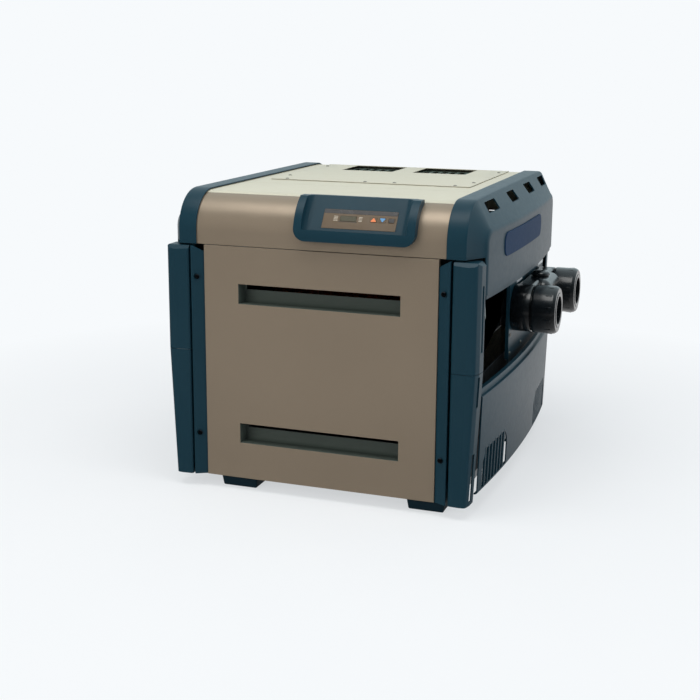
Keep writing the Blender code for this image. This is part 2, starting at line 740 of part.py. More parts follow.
def make_control_hood(plane):
    """A crescent that sits on the rounded edge, with a sloping pocket for the keypad."""
    outline = arc(FRONT_CORNER, CORNER_RADIUS + FRONT_REACH, 184, 118, 12) + [(46, HOOD_TOP_Z + 2.5)]
    outline += arc(FRONT_CORNER, CORNER_RADIUS + GAP, 112, 183, 10)
    hood = prism("control_hood", outline, "x", *HOOD_X, "slate_plastic")
    tub = [chord_point(-0.02, -7), chord_point(1.02, -7), chord_point(1.02, 3), chord_point(-0.02, 3)]
    join(hood, prism("hood_tub", tub, "x", *TUB_X))
    cut(hood, pocket_cutter(plane))
    low, high = KEYPAD_SLOPE[0] / SLOPE_LENGTH, KEYPAD_SLOPE[1] / SLOPE_LENGTH
    recess = [chord_point(low, -3.4), chord_point(high, -3.4), chord_point(high, 5), chord_point(low, 5)]
    cut(hood, prism("hood_recess", recess, "x", *KEYPAD_X))
    cable = [chord_point(0.2, -20), chord_point(0.4, -20), chord_point(0.4, 0), chord_point(0.2, 0)]
    cut(hood, prism("hood_cable_hole", cable, "x", 60, 90))
    trim_low = (HOOD_X[0] - 10, -30, HOOD_TOP_Z)
    cut(hood, block("hood_trim", trim_low, (HOOD_X[1] + 10, 90, HOOD_TOP_Z + 30)))
    round_hood_corners(hood)


def pocket_cutter(plane):
    """The pocket's section across the slope: a flat floor whose ends curve up into its side walls."""
    left, right = POCKET_X
    outline = [(left - POCKET_FLARE, 40)] + arc((left, POCKET_FLARE), POCKET_FLARE, 180, 270, 6)
    outline += arc((right, POCKET_FLARE), POCKET_FLARE, 270, 360, 6) + [(right + POCKET_FLARE, 40)]
    cutter = prism("hood_pocket", outline, "y", 0.0, SLOPE_LENGTH)
    cutter.parent = plane
    return cutter


def round_hood_corners(hood):
    """Takes the two lower corners off in the view from the front."""
    radius = 24.0
    low = 529.5
    for name, x, turn in (("left", HOOD_X[0], 1.0), ("right", HOOD_X[1], -1.0)):
        centre = (x + turn * radius, low + radius)
        curve = arc(centre, radius, 270, 270 - turn * 90, 8)
        outer_x = x - turn * 5
        outline = [(outer_x, low - 5), (curve[0][0], low - 5)] + curve + [(outer_x, low + radius)]
        cut(hood, prism(f"hood_corner_{name}", outline, "y", -40, 14))


KEYS = {
    "key_up": (109.0, 34.5, "key_orange"),
    "key_down": (127.0, 34.5, "key_blue"),
    "key_mode": (145.0, 34.5, "black_plastic"),
}
KEY_SIZE = (13.0, 10.0)
KEYPAD_THICKNESS = 3.0


def keypad_plane():
    """An empty whose X runs along the hood, Y up the slope and Z out of the keypad."""
    empty = bpy.data.objects.new("keypad_plane", None)
    HEATER.objects.link(empty)
    empty.parent = ORIGIN
    y, z = chord_point(0.0)
    empty.location = Vector((0, y, z)) * MM
    run = Vector(KEYPAD_HEAD) - Vector(KEYPAD_FOOT)
    empty.rotation_euler = (math.atan2(run.y, run.x), 0, 0)
    return empty


def make_keypad(plane):
    low = (KEYPAD_X[0] + GAP, KEYPAD_SLOPE[0] + GAP, -KEYPAD_THICKNESS)
    high = (KEYPAD_X[1] - GAP, KEYPAD_SLOPE[1] - GAP, 0.4)
    keypad = block("keypad", low, high, "keypad_film", plane)
    lens_low, lens_high = (41.0, 29.0), (74.0, 40.0)
    recess_low = (lens_low[0] - GAP, lens_low[1] - GAP, -1.8)
    recess_high = (lens_high[0] + GAP, lens_high[1] + GAP, 5)
    cut(keypad, block("lens_recess", recess_low, recess_high, None, plane))
    block("display_lens", (*lens_low, -1.4), (*lens_high, 0.7), "lens", plane)
    for name, (x, y, material) in KEYS.items():
        wide, tall = KEY_SIZE
        half = Vector((wide / 2 + GAP, tall / 2 + GAP, 9))
        place = Vector((x, y, 0))
        cut(keypad, block(f"hole_{name}", place - half, place + half, None, plane))
        key = block(name, (-wide / 2, -tall / 2, -2.2), (wide / 2, tall / 2, 1.3), material, plane)
        key.location = Vector((x, y, 0)) * MM
        bevel(key, 0.5, segments=1)


def make_control_board():
    board = block("control_board", (0, 50, 512), (150, 51.6, 590), "circuit_green")
    relay = ((12, 51, 520), (40, 62, 545))
    processor = ((60, 51, 525), (85, 58, 560))
    transformer = ((105, 51, 520), (130, 66, 540))
    for index, (low, high) in enumerate((relay, processor, transformer)):
        join(board, block(f"board_part_{index}", low, high))


def make_junction_box():
    """A sheet box, open underneath where it stands on the shelf."""
    box = block("junction_box", (-250, 60, 431), (-165, 140, 500), "galvanised")
    bevel(box, 2.0, segments=1)
    cut(box, block("junction_hollow", (-248, 62, 420), (-167, 138, 498)))
    join(box, rod("knockout", (-251.5, 100, 466), (-240, 100, 466), 14.0, segments=24))


# ---------------------------------------------------------------- gas and fire

GAS_Z = 88.0
GAS_STUB_X = 404.0
BURNER_XS = [-180.0 + 60.0 * index for index in range(6)]


def make_gas_valve():
    body = block("gas_valve", (-262, 222, 62), (-208, 276, 116), "galvanised")
    bevel(body, 3.0, segments=1)
    join(body, rod("valve_solenoid", (-224, 249, 110), (-224, 249, 146), 15.0))
    spindle = (-240, 221.4, GAS_Z), (-240, 206, GAS_Z)
    knob = rod("gas_valve_knob", *spindle, 13.0, "black_plastic", end_radius=12.0)
    join(knob, block("knob_grip", (-3, -22, -11.5), (3, -10, 11.5), None, knob))


def make_gas_pipe():
    run = [(-262.6, 250, GAS_Z), (-275, 250, GAS_Z), (-278, 250, GAS_Z + 3), (-278, 250, 325)]
    run += [(-278, 246, 330), (-278, 234, 330), (-281, 230, 330), (-GAS_STUB_X, 230, 330)]
    inlet = pipe("gas_inlet_pipe", run, 7.5, "dark_steel")
    join(inlet, rod("gas_stub", (-292, 230, 330), (-GAS_STUB_X, 230, 330), 13.3))
    cut(inlet, rod("gas_bore", (-330, 230, 330), (-GAS_STUB_X - 5, 230, 330), 10.4))


def make_gas_manifold():
    manifold = rod("gas_manifold", (-207.4, 262, GAS_Z), (135, 262, GAS_Z), 9.0, "galvanised", segments=14)
    for index, x in enumerate(BURNER_XS):
        join(manifold, rod(f"orifice_{index}", (x, 262, GAS_Z), (x, 284, GAS_Z), 4.4, segments=8))


def make_burner_tray():
    """An open tray with six slotted tube burners along it, and the air duct's inlet in its front wall."""
    low_y, high_y = EXCHANGER_Y[0] - 6, EXCHANGER_Y[1] + 6
    tray = block("burner_tray", (-215, low_y - 4, 50), (215, high_y, 121), "dark_steel")
    cut(tray, block("tray_hollow", (-212, low_y + 2, 53), (212, high_y - 3, 130)))
    for index, x in enumerate(BURNER_XS):
        near, far = (x, low_y, GAS_Z), (x, high_y - 1, GAS_Z)
        join(tray, rod(f"burner_{index}", near, far, 15.0, segments=10))
        bore = (x, low_y - 20, GAS_Z), (x, high_y - 10, GAS_Z)
        cut(tray, rod(f"burner_bore_{index}", *bore, 12.5, segments=10))
    slots = [((x - 2.5, low_y + 60, GAS_Z + 6), (x + 2.5, high_y - 30, GAS_Z + 20)) for x in BURNER_XS]
    cut(tray, blocks("flame_slots", slots))
    cut(tray, block("tray_air_inlet", (148, low_y - 20, 56), (198, low_y + 10, 104)))


def make_combustion_chamber():
    low_y, high_y = EXCHANGER_Y[0] - 6, EXCHANGER_Y[1] + 6
    chamber = block("combustion_chamber", (-215, low_y, 121.6), (215, high_y, 300), "refractory")
    cut(chamber, block("chamber_hollow", (-200, low_y + 15, 100), (200, high_y - 15, 320)))


def make_flue_collector():
    """A hood that gathers the flue gas and leads it up to the grille."""
    base = ((-213, EXCHANGER_Y[0] + 4, 375), (213, EXCHANGER_Y[1] - 4, 375))
    skirt = ((-213, EXCHANGER_Y[0] + 4, 392), (213, EXCHANGER_Y[1] - 4, 392))
    throat = ((-165, VENT_Y[0] - 9, 560), (165, VENT_Y[1] + 7, 560))
    mouth = ((-165, VENT_Y[0] - 9, 602), (165, VENT_Y[1] + 7, 602))
    rows = []
    for (low_x, low_y, z), (high_x, high_y, _) in (base, skirt, throat, mouth):
        corners = [(low_x, low_y, z), (high_x, low_y, z), (high_x, high_y, z), (low_x, high_y, z)]
        rows.append(corners + corners[:1])
    collector = sheet_from_rows("flue_collector", rows, "galvanised", (0, 0, 1))
    thicken(collector, 1.5, offset=0.0)


# ---------------------------------------------------------------- blower

def make_blower_housing():
    """A scroll whose outlet leads down through the shelf to the burner tray."""
    centre = (BLOWER_X, BLOWER_Z)
    scroll = arc(centre, 66.0, -20, 180, 14)
    outline = scroll + [(BLOWER_X - 66, 470), (BLOWER_X - 40, 440), (BLOWER_X + 20, 432)]
    outline += [(BLOWER_X + 20, 180), (BLOWER_X + 68, 180)]
    housing = prism("blower_housing", outline, "y", 120, 180, "dark_steel")
    inner = arc(centre, 63.0, -20, 180, 14)
    inner += [(BLOWER_X - 63, 472), (BLOWER_X - 38, 443), (BLOWER_X + 23, 435)]
    inner += [(BLOWER_X + 23, 70), (BLOWER_X + 65, 70)]
    join(housing, duct_elbow())
    cut(housing, prism("housing_hollow", inner, "y", 123, 177))
    cut(housing, block("duct_hollow", (BLOWER_X + 23, 123, 58), (BLOWER_X + 65, 290, 104)))
    cut(housing, blower_rod("blower_inlet", 170, 190, 36.0, 20))
    cut(housing, blower_rod("blower_shaft_hole", 110, 130, 12.0, 12))


def duct_elbow():
    outline = [(120, 200), (120, 55), (279, 55), (279, 107), (180, 107), (180, 200)]
    return prism("duct_elbow", outline, "x", BLOWER_X + 20, BLOWER_X + 68)


def blower_rod(name, low_y, high_y, radius, segments, material=None):
    """A cylinder on the blower's axis."""
    ends = (BLOWER_X, low_y, BLOWER_Z), (BLOWER_X, high_y, BLOWER_Z)
    return rod(name, *ends, radius, material, segments=segments)


def make_blower_wheel():
    wheel = blower_rod("blower_wheel", 170, 173, 54.0, 24, "galvanised")
    centre = (BLOWER_X, BLOWER_Z)
    ring = blower_rod("wheel_ring", 127, 130, 54.0, 24)
    cut(ring, blower_rod("wheel_ring_hole", 120, 135, 42.0, 24))
    join(wheel, ring)
    join(wheel, blower_rod("wheel_shaft", 72, 171, 4.0, 16))
    join(wheel, blower_rod("wheel_hub", 148, 171, 9.0, 20))
    cut(wheel, *[wheel_air_hole(centre, index) for index in range(5)])
    join(wheel, *[wheel_blade(centre, index, 12) for index in range(12)])


def wheel_air_hole(centre, index):
    angle = math.tau * index / 5
    x, z = centre[0] + 27 * math.cos(angle), centre[1] + 27 * math.sin(angle)
    return rod(f"wheel_air_hole_{index}", (x, 165, z), (x, 180, z), 8.0, segments=10)


def wheel_blade(centre, index, count):
    """A flat blade set back from the radius by a fixed angle."""
    blade = block(f"wheel_blade_{index}", (43, 129, -0.8), (53, 171, 0.8))
    turn = Matrix.Rotation(-math.tau * index / count, 4, "Y")
    middle = Matrix.Translation((48 * MM, 0, 0))
    lean = middle @ Matrix.Rotation(math.radians(28), 4, "Y") @ middle.inverted()
    blade.data.transform(turn @ lean)
    blade.location = (centre[0] * MM, 0, centre[1] * MM)
    return blade


def make_blower_motor():
    motor = blower_rod("blower_motor", 119.4, 66, 32.0, 24, "dark_steel")
    bevel(motor, 3.0, segments=1)
    cut(motor, blower_rod("motor_bore", 70, 125, 4.3, 16))


# ---------------------------------------------------------------- water circuit

FIN_Z = (306.0, 372.0)
FIN_COUNT = 15
TUBE_COUNT = 6


def make_heat_exchanger():
    """Six bored tubes through a stack of fins, between a tube sheet at each end."""
    low_y, high_y = EXCHANGER_Y
    sheet_x, half_span = (-214.0, -210.0), 192.0
    exchanger = block(
        "heat_exchanger", (sheet_x[0], low_y, FIN_Z[0]), (sheet_x[1], high_y, FIN_Z[1]), "copper",
    )
    plates = [((-sheet_x[1], low_y, FIN_Z[0]), (-sheet_x[0], high_y, FIN_Z[1]))]
    for index in range(FIN_COUNT):
        x = -half_span + index * 2 * half_span / (FIN_COUNT - 1)
        plates.append(((x - 1, low_y + 1, FIN_Z[0]), (x + 1, high_y - 1, FIN_Z[1])))
    join(exchanger, blocks("exchanger_plates", plates))
    centre_z = sum(FIN_Z) / 2
    ends = [((-231, y, centre_z), (231, y, centre_z)) for y in tube_ys()]
    bores = [((-240, y, centre_z), (240, y, centre_z)) for y in tube_ys()]
    for index, (start, end) in enumerate(ends):
        join(exchanger, rod(f"tube_{index}", start, end, 14.0, segments=10))
    for index, (start, end) in enumerate(bores):
        cut(exchanger, rod(f"tube_bore_{index}", start, end, 11.0, segments=10))


def tube_ys():
    pitch = (EXCHANGER_Y[1] - EXCHANGER_Y[0] - 70) / (TUBE_COUNT - 1)
    return [EXCHANGER_Y[0] + 35 + index * pitch for index in range(TUBE_COUNT)]


def make_return_header():
    low_y, high_y = EXCHANGER_Y
    header = block("return_header", (-284, low_y - 4, 306), (-231.6, high_y + 4, 374), "black_plastic")
    bevel(header, 14.0, segments=3)


def make_water_header():
    """Water box, two port collars and the bypass housing between them, moulded as one."""
    low_y, high_y = EXCHANGER_Y
    header = block("water_header", (231.6, low_y - 4, 300), (284, high_y + 4, 384), "black_plastic")
    for port, y in PORT_YS.items():
        join(header, rod(f"collar_{port}", (280, y, PORT_Z), (372, y, PORT_Z), 43.5, segments=28))
        join(header, rod(f"shoulder_{port}", (308, y, PORT_Z), (349, y, PORT_Z), 50.8, segments=28))
    join(header, prism("bypass_rear", [(309, 309), (349, 309), (349, 397), (309, 397)], "y", 396, 636))
    outline = [(345, 309), (352, 309)] + arc((348, 333), 24, -50, 0, 3)
    outline += arc((346, 372), 26, 0, 90, 5) + [(345, 397)]
    join(header, prism("bypass_front", outline, "y", 453, 579))
    for port, y in PORT_YS.items():
        cut(header, rod(f"port_bore_{port}", (250, y, PORT_Z), (380, y, PORT_Z), 27.0, segments=18))
    cut(header, rod("drain_hole", (270, low_y - 10, 322), (270, low_y + 14, 322), 5.4, segments=16))
    cut_bypass(header)


BYPASS_PLACE = (338.0, 516.0)
SEAT_Z = 340.0


def cut_bypass(header):
    """The bypass passage: under the seat from one port, up through it and out to the other."""
    x, y = BYPASS_PLACE
    cut(header, rod("bypass_low", (x, 400, 327), (x, y + 8, 327), 8.0, segments=8))
    cut(header, rod("bypass_high", (x, y - 8, 356), (x, 630, 356), 8.0, segments=8))
    cut(header, rod("bypass_seat", (x, y, 322), (x, y, SEAT_Z + 2), 9.0, segments=12))
    cut(header, rod("bypass_chamber", (x, y, SEAT_Z), (x, y, 410), 17.0, segments=20))


def make_bypass():
    x, y = BYPASS_PLACE
    poppet = rod("bypass_poppet", (x, y, SEAT_Z + GAP), (x, y, SEAT_Z + 4.5), 14.0, "brass", segments=24)
    join(poppet, rod("poppet_stem", (x, y, SEAT_Z + 4), (x, y, SEAT_Z + 18), 4.0, segments=16))
    low, high, turns, per_turn, radius = SEAT_Z + 5.9, 388.0, 4, 8, 9.5
    count = turns * per_turn
    coil = []
    for step in range(count + 1):
        angle = math.tau * step / per_turn
        height = low + (high - low) * step / count
        coil.append((x + radius * math.cos(angle), y + radius * math.sin(angle), height))
    pipe("bypass_spring", coil, 1.1, "spring_steel", roundness=1)
    cap = rod("bypass_cap", (x, y, 390), (x, y, 406), 16.4, "black_plastic", segments=32)
    join(cap, rod("bypass_cap_head", (x, y, 398.6), (x, y, 409), 21.0, end_radius=19.0, segments=8))


def make_union(port, y):
    """The nut screws onto the header's collar and holds the tailpiece's flange against it."""
    nut_profile = [
        (0, 44.3), (22.5, 44.3), (22.5, 44.0), (30.5, 44.0), (30.5, 37.6), (52, 37.6),
        (52, 47.5), (46, 51.5), (4, 51.5), (0, 50.0),
    ]
    nut = turned(f"{port}_union_nut", nut_profile, (NUT_START_X, y, PORT_Z), "black_plastic", steps=32)
    ribs = 12
    for index in range(ribs):
        angle = math.tau * (index + 0.5) / ribs
        rib = block(f"rib_{port}_{index}", (30, -2.2, 50.0), (45, 2.2, 52.4), None, nut)
        rib.data.transform(Matrix.Rotation(angle, 4, "X"))
        join(nut, rib)
    tail_profile = [
        (22.0, 26.5), (22.0, 43.2), (29.8, 43.2), (29.8, 37.0), (53.0, 37.0),
        (53.0, SOCKET_RADIUS), (28.0, SOCKET_RADIUS), (28.0, 26.5),
    ]
    turned(f"{port}_tailpiece", tail_profile, (NUT_START_X, y, PORT_Z), "black_plastic", steps=28)


def make_drain_plug():
    low_y = EXCHANGER_Y[0] - 4
    plug = rod("drain_plug", (270, low_y - 13, 322), (270, low_y - GAP, 322), 10.0, "brass", segments=6)
    join(plug, rod("drain_plug_shank", (270, low_y - 3, 322), (270, low_y + 12, 322), 5.0, segments=16))


def make_pressure_switch():
    switch = rod("pressure_switch", (262, 262, 398), (262, 262, 424), 17.0, "galvanised")
    run = [(262, 262, 400), (262, 262, 352), (262, 266, 346), (262, EXCHANGER_Y[0] - 4.4, 344)]
    join(switch, pipe("pressure_tube", run, 3.2))


# ---------------------------------------------------------------- assembly

def main():
    make_base_pan()
    make_feet()
    make_cabinet_frame()
    make_front_access_panel()
    make_upper_front_panel()
    make_top_panel()
    make_exhaust_cover()
    make_exhaust_grille()
    make_rear_panel()
    for side, sign in SIDES.items():
        make_end_cap(side, sign)
        make_lower_side_panel(side, sign)
        make_front_posts(side, sign)
        make_rear_post(side, sign)
        make_trim_strip(side, sign)
        make_service_plate(side, sign)
        for level, z in zip(("upper", "lower"), SCREW_ZS):
            make_panel_screw(side, sign, level, z)
    plane = keypad_plane()
    make_control_hood(plane)
    make_keypad(plane)
    make_control_board()
    make_junction_box()
    make_gas_valve()
    make_gas_pipe()
    make_gas_manifold()
    make_burner_tray()
    make_combustion_chamber()
    make_flue_collector()
    make_blower_housing()
    make_blower_wheel()
    make_blower_motor()
    make_heat_exchanger()
    make_return_header()
    make_water_header()
    make_bypass()
    for port, y in PORT_YS.items():
        make_union(port, y)
    make_drain_plug()
    make_pressure_switch()


main()
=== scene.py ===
"""The looks of the gas pool heater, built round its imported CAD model.

Places and sizes here are in millimetres in the cabinet's own coordinates: X to the right, Y backwards from the
front panel, Z up from the ground. at() turns them into the frame's metres.
"""

import math

import bmesh
import bpy
from mathutils import Matrix, Vector


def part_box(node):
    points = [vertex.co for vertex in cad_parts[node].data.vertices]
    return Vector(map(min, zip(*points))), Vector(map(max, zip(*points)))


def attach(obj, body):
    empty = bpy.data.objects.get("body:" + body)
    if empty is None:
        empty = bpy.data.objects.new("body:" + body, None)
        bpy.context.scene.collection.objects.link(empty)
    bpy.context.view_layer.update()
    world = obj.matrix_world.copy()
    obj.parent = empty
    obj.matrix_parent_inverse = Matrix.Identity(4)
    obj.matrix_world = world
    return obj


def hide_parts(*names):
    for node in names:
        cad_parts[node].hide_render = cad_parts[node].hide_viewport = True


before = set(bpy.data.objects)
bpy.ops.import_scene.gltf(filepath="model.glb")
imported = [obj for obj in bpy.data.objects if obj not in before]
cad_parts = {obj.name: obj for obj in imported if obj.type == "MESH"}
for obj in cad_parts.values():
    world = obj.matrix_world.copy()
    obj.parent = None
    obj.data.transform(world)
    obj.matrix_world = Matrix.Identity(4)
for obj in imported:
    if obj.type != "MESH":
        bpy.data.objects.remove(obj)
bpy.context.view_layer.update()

MM = 0.001
FRONT_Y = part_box("front_access_panel")[0].y
SIDES = {"left": -1.0, "right": 1.0}


def at(x, y, z):
    return Vector((x * MM, FRONT_Y + y * MM, z * MM))


def node_box(node):
    """A CAD node's corners in the cabinet's millimetres."""
    low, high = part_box(node)
    shift = Vector((0, FRONT_Y, 0))
    return (low - shift) / MM, (high - shift) / MM


# Driving sizes, read from the frame where a node gives them
DEPTH = node_box("rear_panel")[1].y
SHEET_TOP = node_box("top_panel")[1].z
CORNER_RADIUS = 75.0
CORNER_Z = SHEET_TOP - CORNER_RADIUS
PANEL_LOW, PANEL_HIGH = node_box("front_access_panel")
SEAM_Z = PANEL_HIGH.z
CAP_LOW, CAP_HIGH = node_box("right_end_cap")
BOW = 19.5
CAP_SIDE_X = CAP_HIGH.x - BOW
SIDE_INSET_Y = 43.0
CAP_SIDE_TOP_Z = 562.0
CAP_LIP_Z = CAP_LOW.z
RIM_INNER_X = CAP_LOW.x
RIM_OUTER_X = 294.0
RIM_RADIUS = CAP_HIGH.z - CORNER_Z
POST_LOW, POST_HIGH = node_box("front_corner_post_upper_right")
HOOD_LOW, HOOD_HIGH = node_box("control_hood")
HOOD_X = (HOOD_LOW.x, HOOD_HIGH.x)
HOOD_RADIUS = 92.0
PORT_Z = 346.0
PORT_YS = {"inlet": 636.0, "outlet": 396.0}
BYPASS_X = (node_box("bypass_cap")[0].x + node_box("bypass_cap")[1].x) / 2


# ---------------------------------------------------------------- materials

class Shader:
    """A Principled material and a few helpers to build its nodes."""

    def __init__(self, name, roughness=0.5, metallic=0.0):
        self.material = bpy.data.materials.new(name)
        self.material.use_nodes = True
        self.tree = self.material.node_tree
        self.main = self.tree.nodes["Principled BSDF"]
        self.main.inputs["Roughness"].default_value = roughness
        self.main.inputs["Metallic"].default_value = metallic
        self.place = self.add("ShaderNodeTexCoord").outputs["Object"]
        self.normal = None

    def add(self, kind, **settings):
        made = self.tree.nodes.new(kind)
        for key, value in settings.items():
            setattr(made, key, value)
        return made

    def feed(self, target, value):
        if isinstance(value, bpy.types.NodeSocket):
            self.tree.links.new(value, target)
        else:
            target.default_value = value

    def noise(self, scale, detail=2.0, rough=0.5, stretch=None):
        made = self.add("ShaderNodeTexNoise")
        made.inputs["Scale"].default_value = scale
        made.inputs["Detail"].default_value = detail
        made.inputs["Roughness"].default_value = rough
        self.feed(made.inputs["Vector"], self.stretched(stretch))
        return made.outputs["Fac"]

    def cells(self, scale, output="Distance", stretch=None, feature="F1"):
        made = self.add("ShaderNodeTexVoronoi", feature=feature)
        made.inputs["Scale"].default_value = scale
        self.feed(made.inputs["Vector"], self.stretched(stretch))
        return made.outputs[output]

    def stretched(self, stretch):
        if stretch is None:
            return self.place
        mapping = self.add("ShaderNodeMapping")
        mapping.inputs["Scale"].default_value = stretch
        self.feed(mapping.inputs["Vector"], self.place)
        return mapping.outputs["Vector"]

    def spread(self, value, low, high, from_low=0.3, from_high=0.7):
        """Maps a noise value to the range low to high."""
        made = self.add("ShaderNodeMapRange")
        self.feed(made.inputs["Value"], value)
        for key, number in (("From Min", from_low), ("From Max", from_high), ("To Min", low), ("To Max", high)):
            made.inputs[key].default_value = number
        return made.outputs["Result"]

    def mix(self, share, first, second, blend="MIX"):
        made = self.add("ShaderNodeMix", data_type="RGBA", blend_type=blend)
        for socket, value in ((0, share), (6, first), (7, second)):
            self.feed(made.inputs[socket], value)
        return made.outputs[2]

    def colour(self, value):
        self.feed(self.main.inputs["Base Color"], value)

    def roughness(self, value):
        self.feed(self.main.inputs["Roughness"], value)

    def bump(self, height, strength, depth_mm):
        made = self.add("ShaderNodeBump")
        made.inputs["Strength"].default_value = strength
        made.inputs["Distance"].default_value = depth_mm * MM
        self.feed(made.inputs["Height"], height)
        if self.normal is not None:
            self.feed(made.inputs["Normal"], self.normal)
        self.normal = made.outputs["Normal"]
        self.feed(self.main.inputs["Normal"], self.normal)

    def set(self, **values):
        for key, value in values.items():
            self.feed(self.main.inputs[key.replace("_", " ")], value)


def srgb(red, green, blue):
    """A colour given as screen values from 0 to 255, as the linear values that shaders take."""
    linear = []
    for value in (red, green, blue):
        share = value / 255
        linear.append(share / 12.92 if share <= 0.04045 else ((share + 0.055) / 1.055) ** 2.4)
    return (*linear, 1.0)


def shade(colour, factor):
    return (*(channel * factor for channel in colour[:3]), 1.0)


def powder_coat(name, colour, metallic, roughness, peel):
    """Baked paint on sheet metal: orange peel, a fine sparkle and a little dust."""
    paint = Shader(name, roughness, metallic)
    sparkle = paint.noise(2600, 1.0)
    tone = paint.mix(paint.spread(sparkle, 0, 1), shade(colour, 0.93), shade(colour, 1.07))
    cloud = paint.noise(5, 3.0)
    paint.colour(paint.mix(paint.spread(cloud, 0, 1), tone, shade(colour, 0.96)))
    paint.roughness(paint.spread(paint.noise(38, 3.0), roughness - 0.03, roughness + 0.04))
    paint.bump(paint.noise(620, 2.0), peel, 0.05)
    paint.bump(paint.noise(2200, 1.0), peel * 0.6, 0.02)
    return paint.material


def moulded(name, colour, roughness, grain, gloss=0.0, specular=0.5):
    """Moulded plastic with a fine leather grain and slight flow marks."""
    plastic = Shader(name, roughness)
    cloud = plastic.noise(7, 4.0, 0.6, stretch=(1, 1, 0.35))
    tone = plastic.mix(plastic.spread(cloud, 0, 1), shade(colour, 0.95), shade(colour, 1.05))
    speck = plastic.spread(plastic.cells(1400, "Color"), 0, 0.15, 0, 1)
    plastic.colour(plastic.mix(speck, tone, shade(colour, 1.12)))
    plastic.set(Specular_IOR_Level=specular)
    plastic.roughness(plastic.spread(plastic.noise(90, 3.0), roughness - 0.02, roughness + 0.02))
    if grain:
        plastic.bump(plastic.cells(850, "Distance", feature="SMOOTH_F1"), grain, 0.08)
        plastic.bump(plastic.noise(300, 3.0), grain * 0.5, 0.05)
    if gloss:
        plastic.set(Coat_Weight=gloss, Coat_Roughness=0.12)
    return plastic.material


def galvanised_sheet(name, colour, roughness):
    """Zinc-coated sheet, with its crystal spangle."""
    metal = Shader(name, roughness, 0.95)
    spangle = metal.cells(70, "Color", feature="F1")
    tone = metal.mix(metal.spread(spangle, 0, 1, 0, 1), shade(colour, 0.78), shade(colour, 1.15))
    metal.colour(metal.mix(metal.spread(metal.noise(9, 4.0), 0, 0.5), tone, shade(colour, 0.7)))
    metal.roughness(metal.spread(spangle, roughness - 0.08, roughness + 0.12, 0, 1))
    metal.bump(metal.noise(400, 2.0), 0.15, 0.04)
    return metal.material


def machined(name, colour, roughness, stretch):
    """Turned or drawn metal with fine lines round its axis."""
    metal = Shader(name, roughness, 1.0)
    lines = metal.noise(900, 2.0, stretch=stretch)
    tarnish = metal.noise(60, 4.0)
    tone = metal.mix(metal.spread(lines, 0, 1), shade(colour, 0.85), shade(colour, 1.1))
    metal.colour(metal.mix(metal.spread(tarnish, 0, 0.6), tone, shade(colour, 0.55)))
    metal.roughness(metal.spread(tarnish, roughness - 0.06, roughness + 0.14))
    metal.bump(lines, 0.2, 0.03)
    return metal.material


def fire_board(name, colour):
    """Soft fibrous insulation board."""
    board = Shader(name, 0.95)
    fibres = board.noise(240, 4.0, 0.7, stretch=(1, 0.2, 1))
    board.colour(board.mix(board.spread(fibres, 0, 1), shade(colour, 0.75), shade(colour, 1.1)))
    board.bump(fibres, 0.6, 0.5)
    return board.material


def circuit(name):
    """Green solder mask with copper tracks under it."""
    board = Shader(name, 0.35)
    tracks = board.add("ShaderNodeTexBrick")
    tracks.inputs["Scale"].default_value = 90.0
    board.feed(tracks.inputs["Vector"], board.stretched((1, 0.01, 1)))
    board.feed(tracks.inputs["Color1"], srgb(22, 92, 58))
    board.feed(tracks.inputs["Color2"], srgb(16, 76, 46))
    board.feed(tracks.inputs["Mortar"], srgb(96, 128, 62))
    board.colour(tracks.outputs["Color"])
    board.bump(tracks.outputs["Fac"], 0.2, 0.05)
    return board.material


def printed_film(name, colour, roughness=0.42):
    """Screen-printed polyester film: a very fine weave of dots and a soft sheen."""
    film = Shader(name, roughness)
    film.colour(film.mix(film.spread(film.noise(900, 2.0), 0, 1), shade(colour, 0.93), shade(colour, 1.06)))
    film.roughness(film.spread(film.noise(60, 2.0), roughness - 0.05, roughness + 0.05))
    film.bump(film.noise(1600, 1.0), 0.08, 0.02)
    return film.material


def display(name):
    """The dark liquid crystal window, with its faint grid of segments."""
    glass = Shader(name, 0.3)
    grid = glass.add("ShaderNodeTexChecker")
    grid.inputs["Scale"].default_value = 700.0
    glass.feed(grid.inputs["Vector"], glass.place)
    glass.colour(glass.mix(glass.spread(grid.outputs["Fac"], 0, 0.4, 0, 1), srgb(58, 54, 30), srgb(46, 43, 24)))
    glass.roughness(glass.spread(glass.noise(80, 2.0), 0.25, 0.35))
    glass.set(Coat_Weight=0.15, Coat_Roughness=0.1, Specular_IOR_Level=0.3)
    return glass.material


def clear_tube(name):
    tube = Shader(name, 0.18)
    tube.colour(tube.mix(tube.spread(tube.noise(120, 2.0), 0, 1), srgb(196, 205, 202), srgb(160, 172, 170)))
    tube.set(Transmission_Weight=0.35, IOR=1.42)
    tube.bump(tube.noise(200, 2.0), 0.1, 0.05)
    return tube.material


TAN = srgb(148, 133, 115)
CREAM = srgb(206, 202, 182)
SLATE = srgb(20, 50, 62)
BLACK = srgb(13, 17, 20)

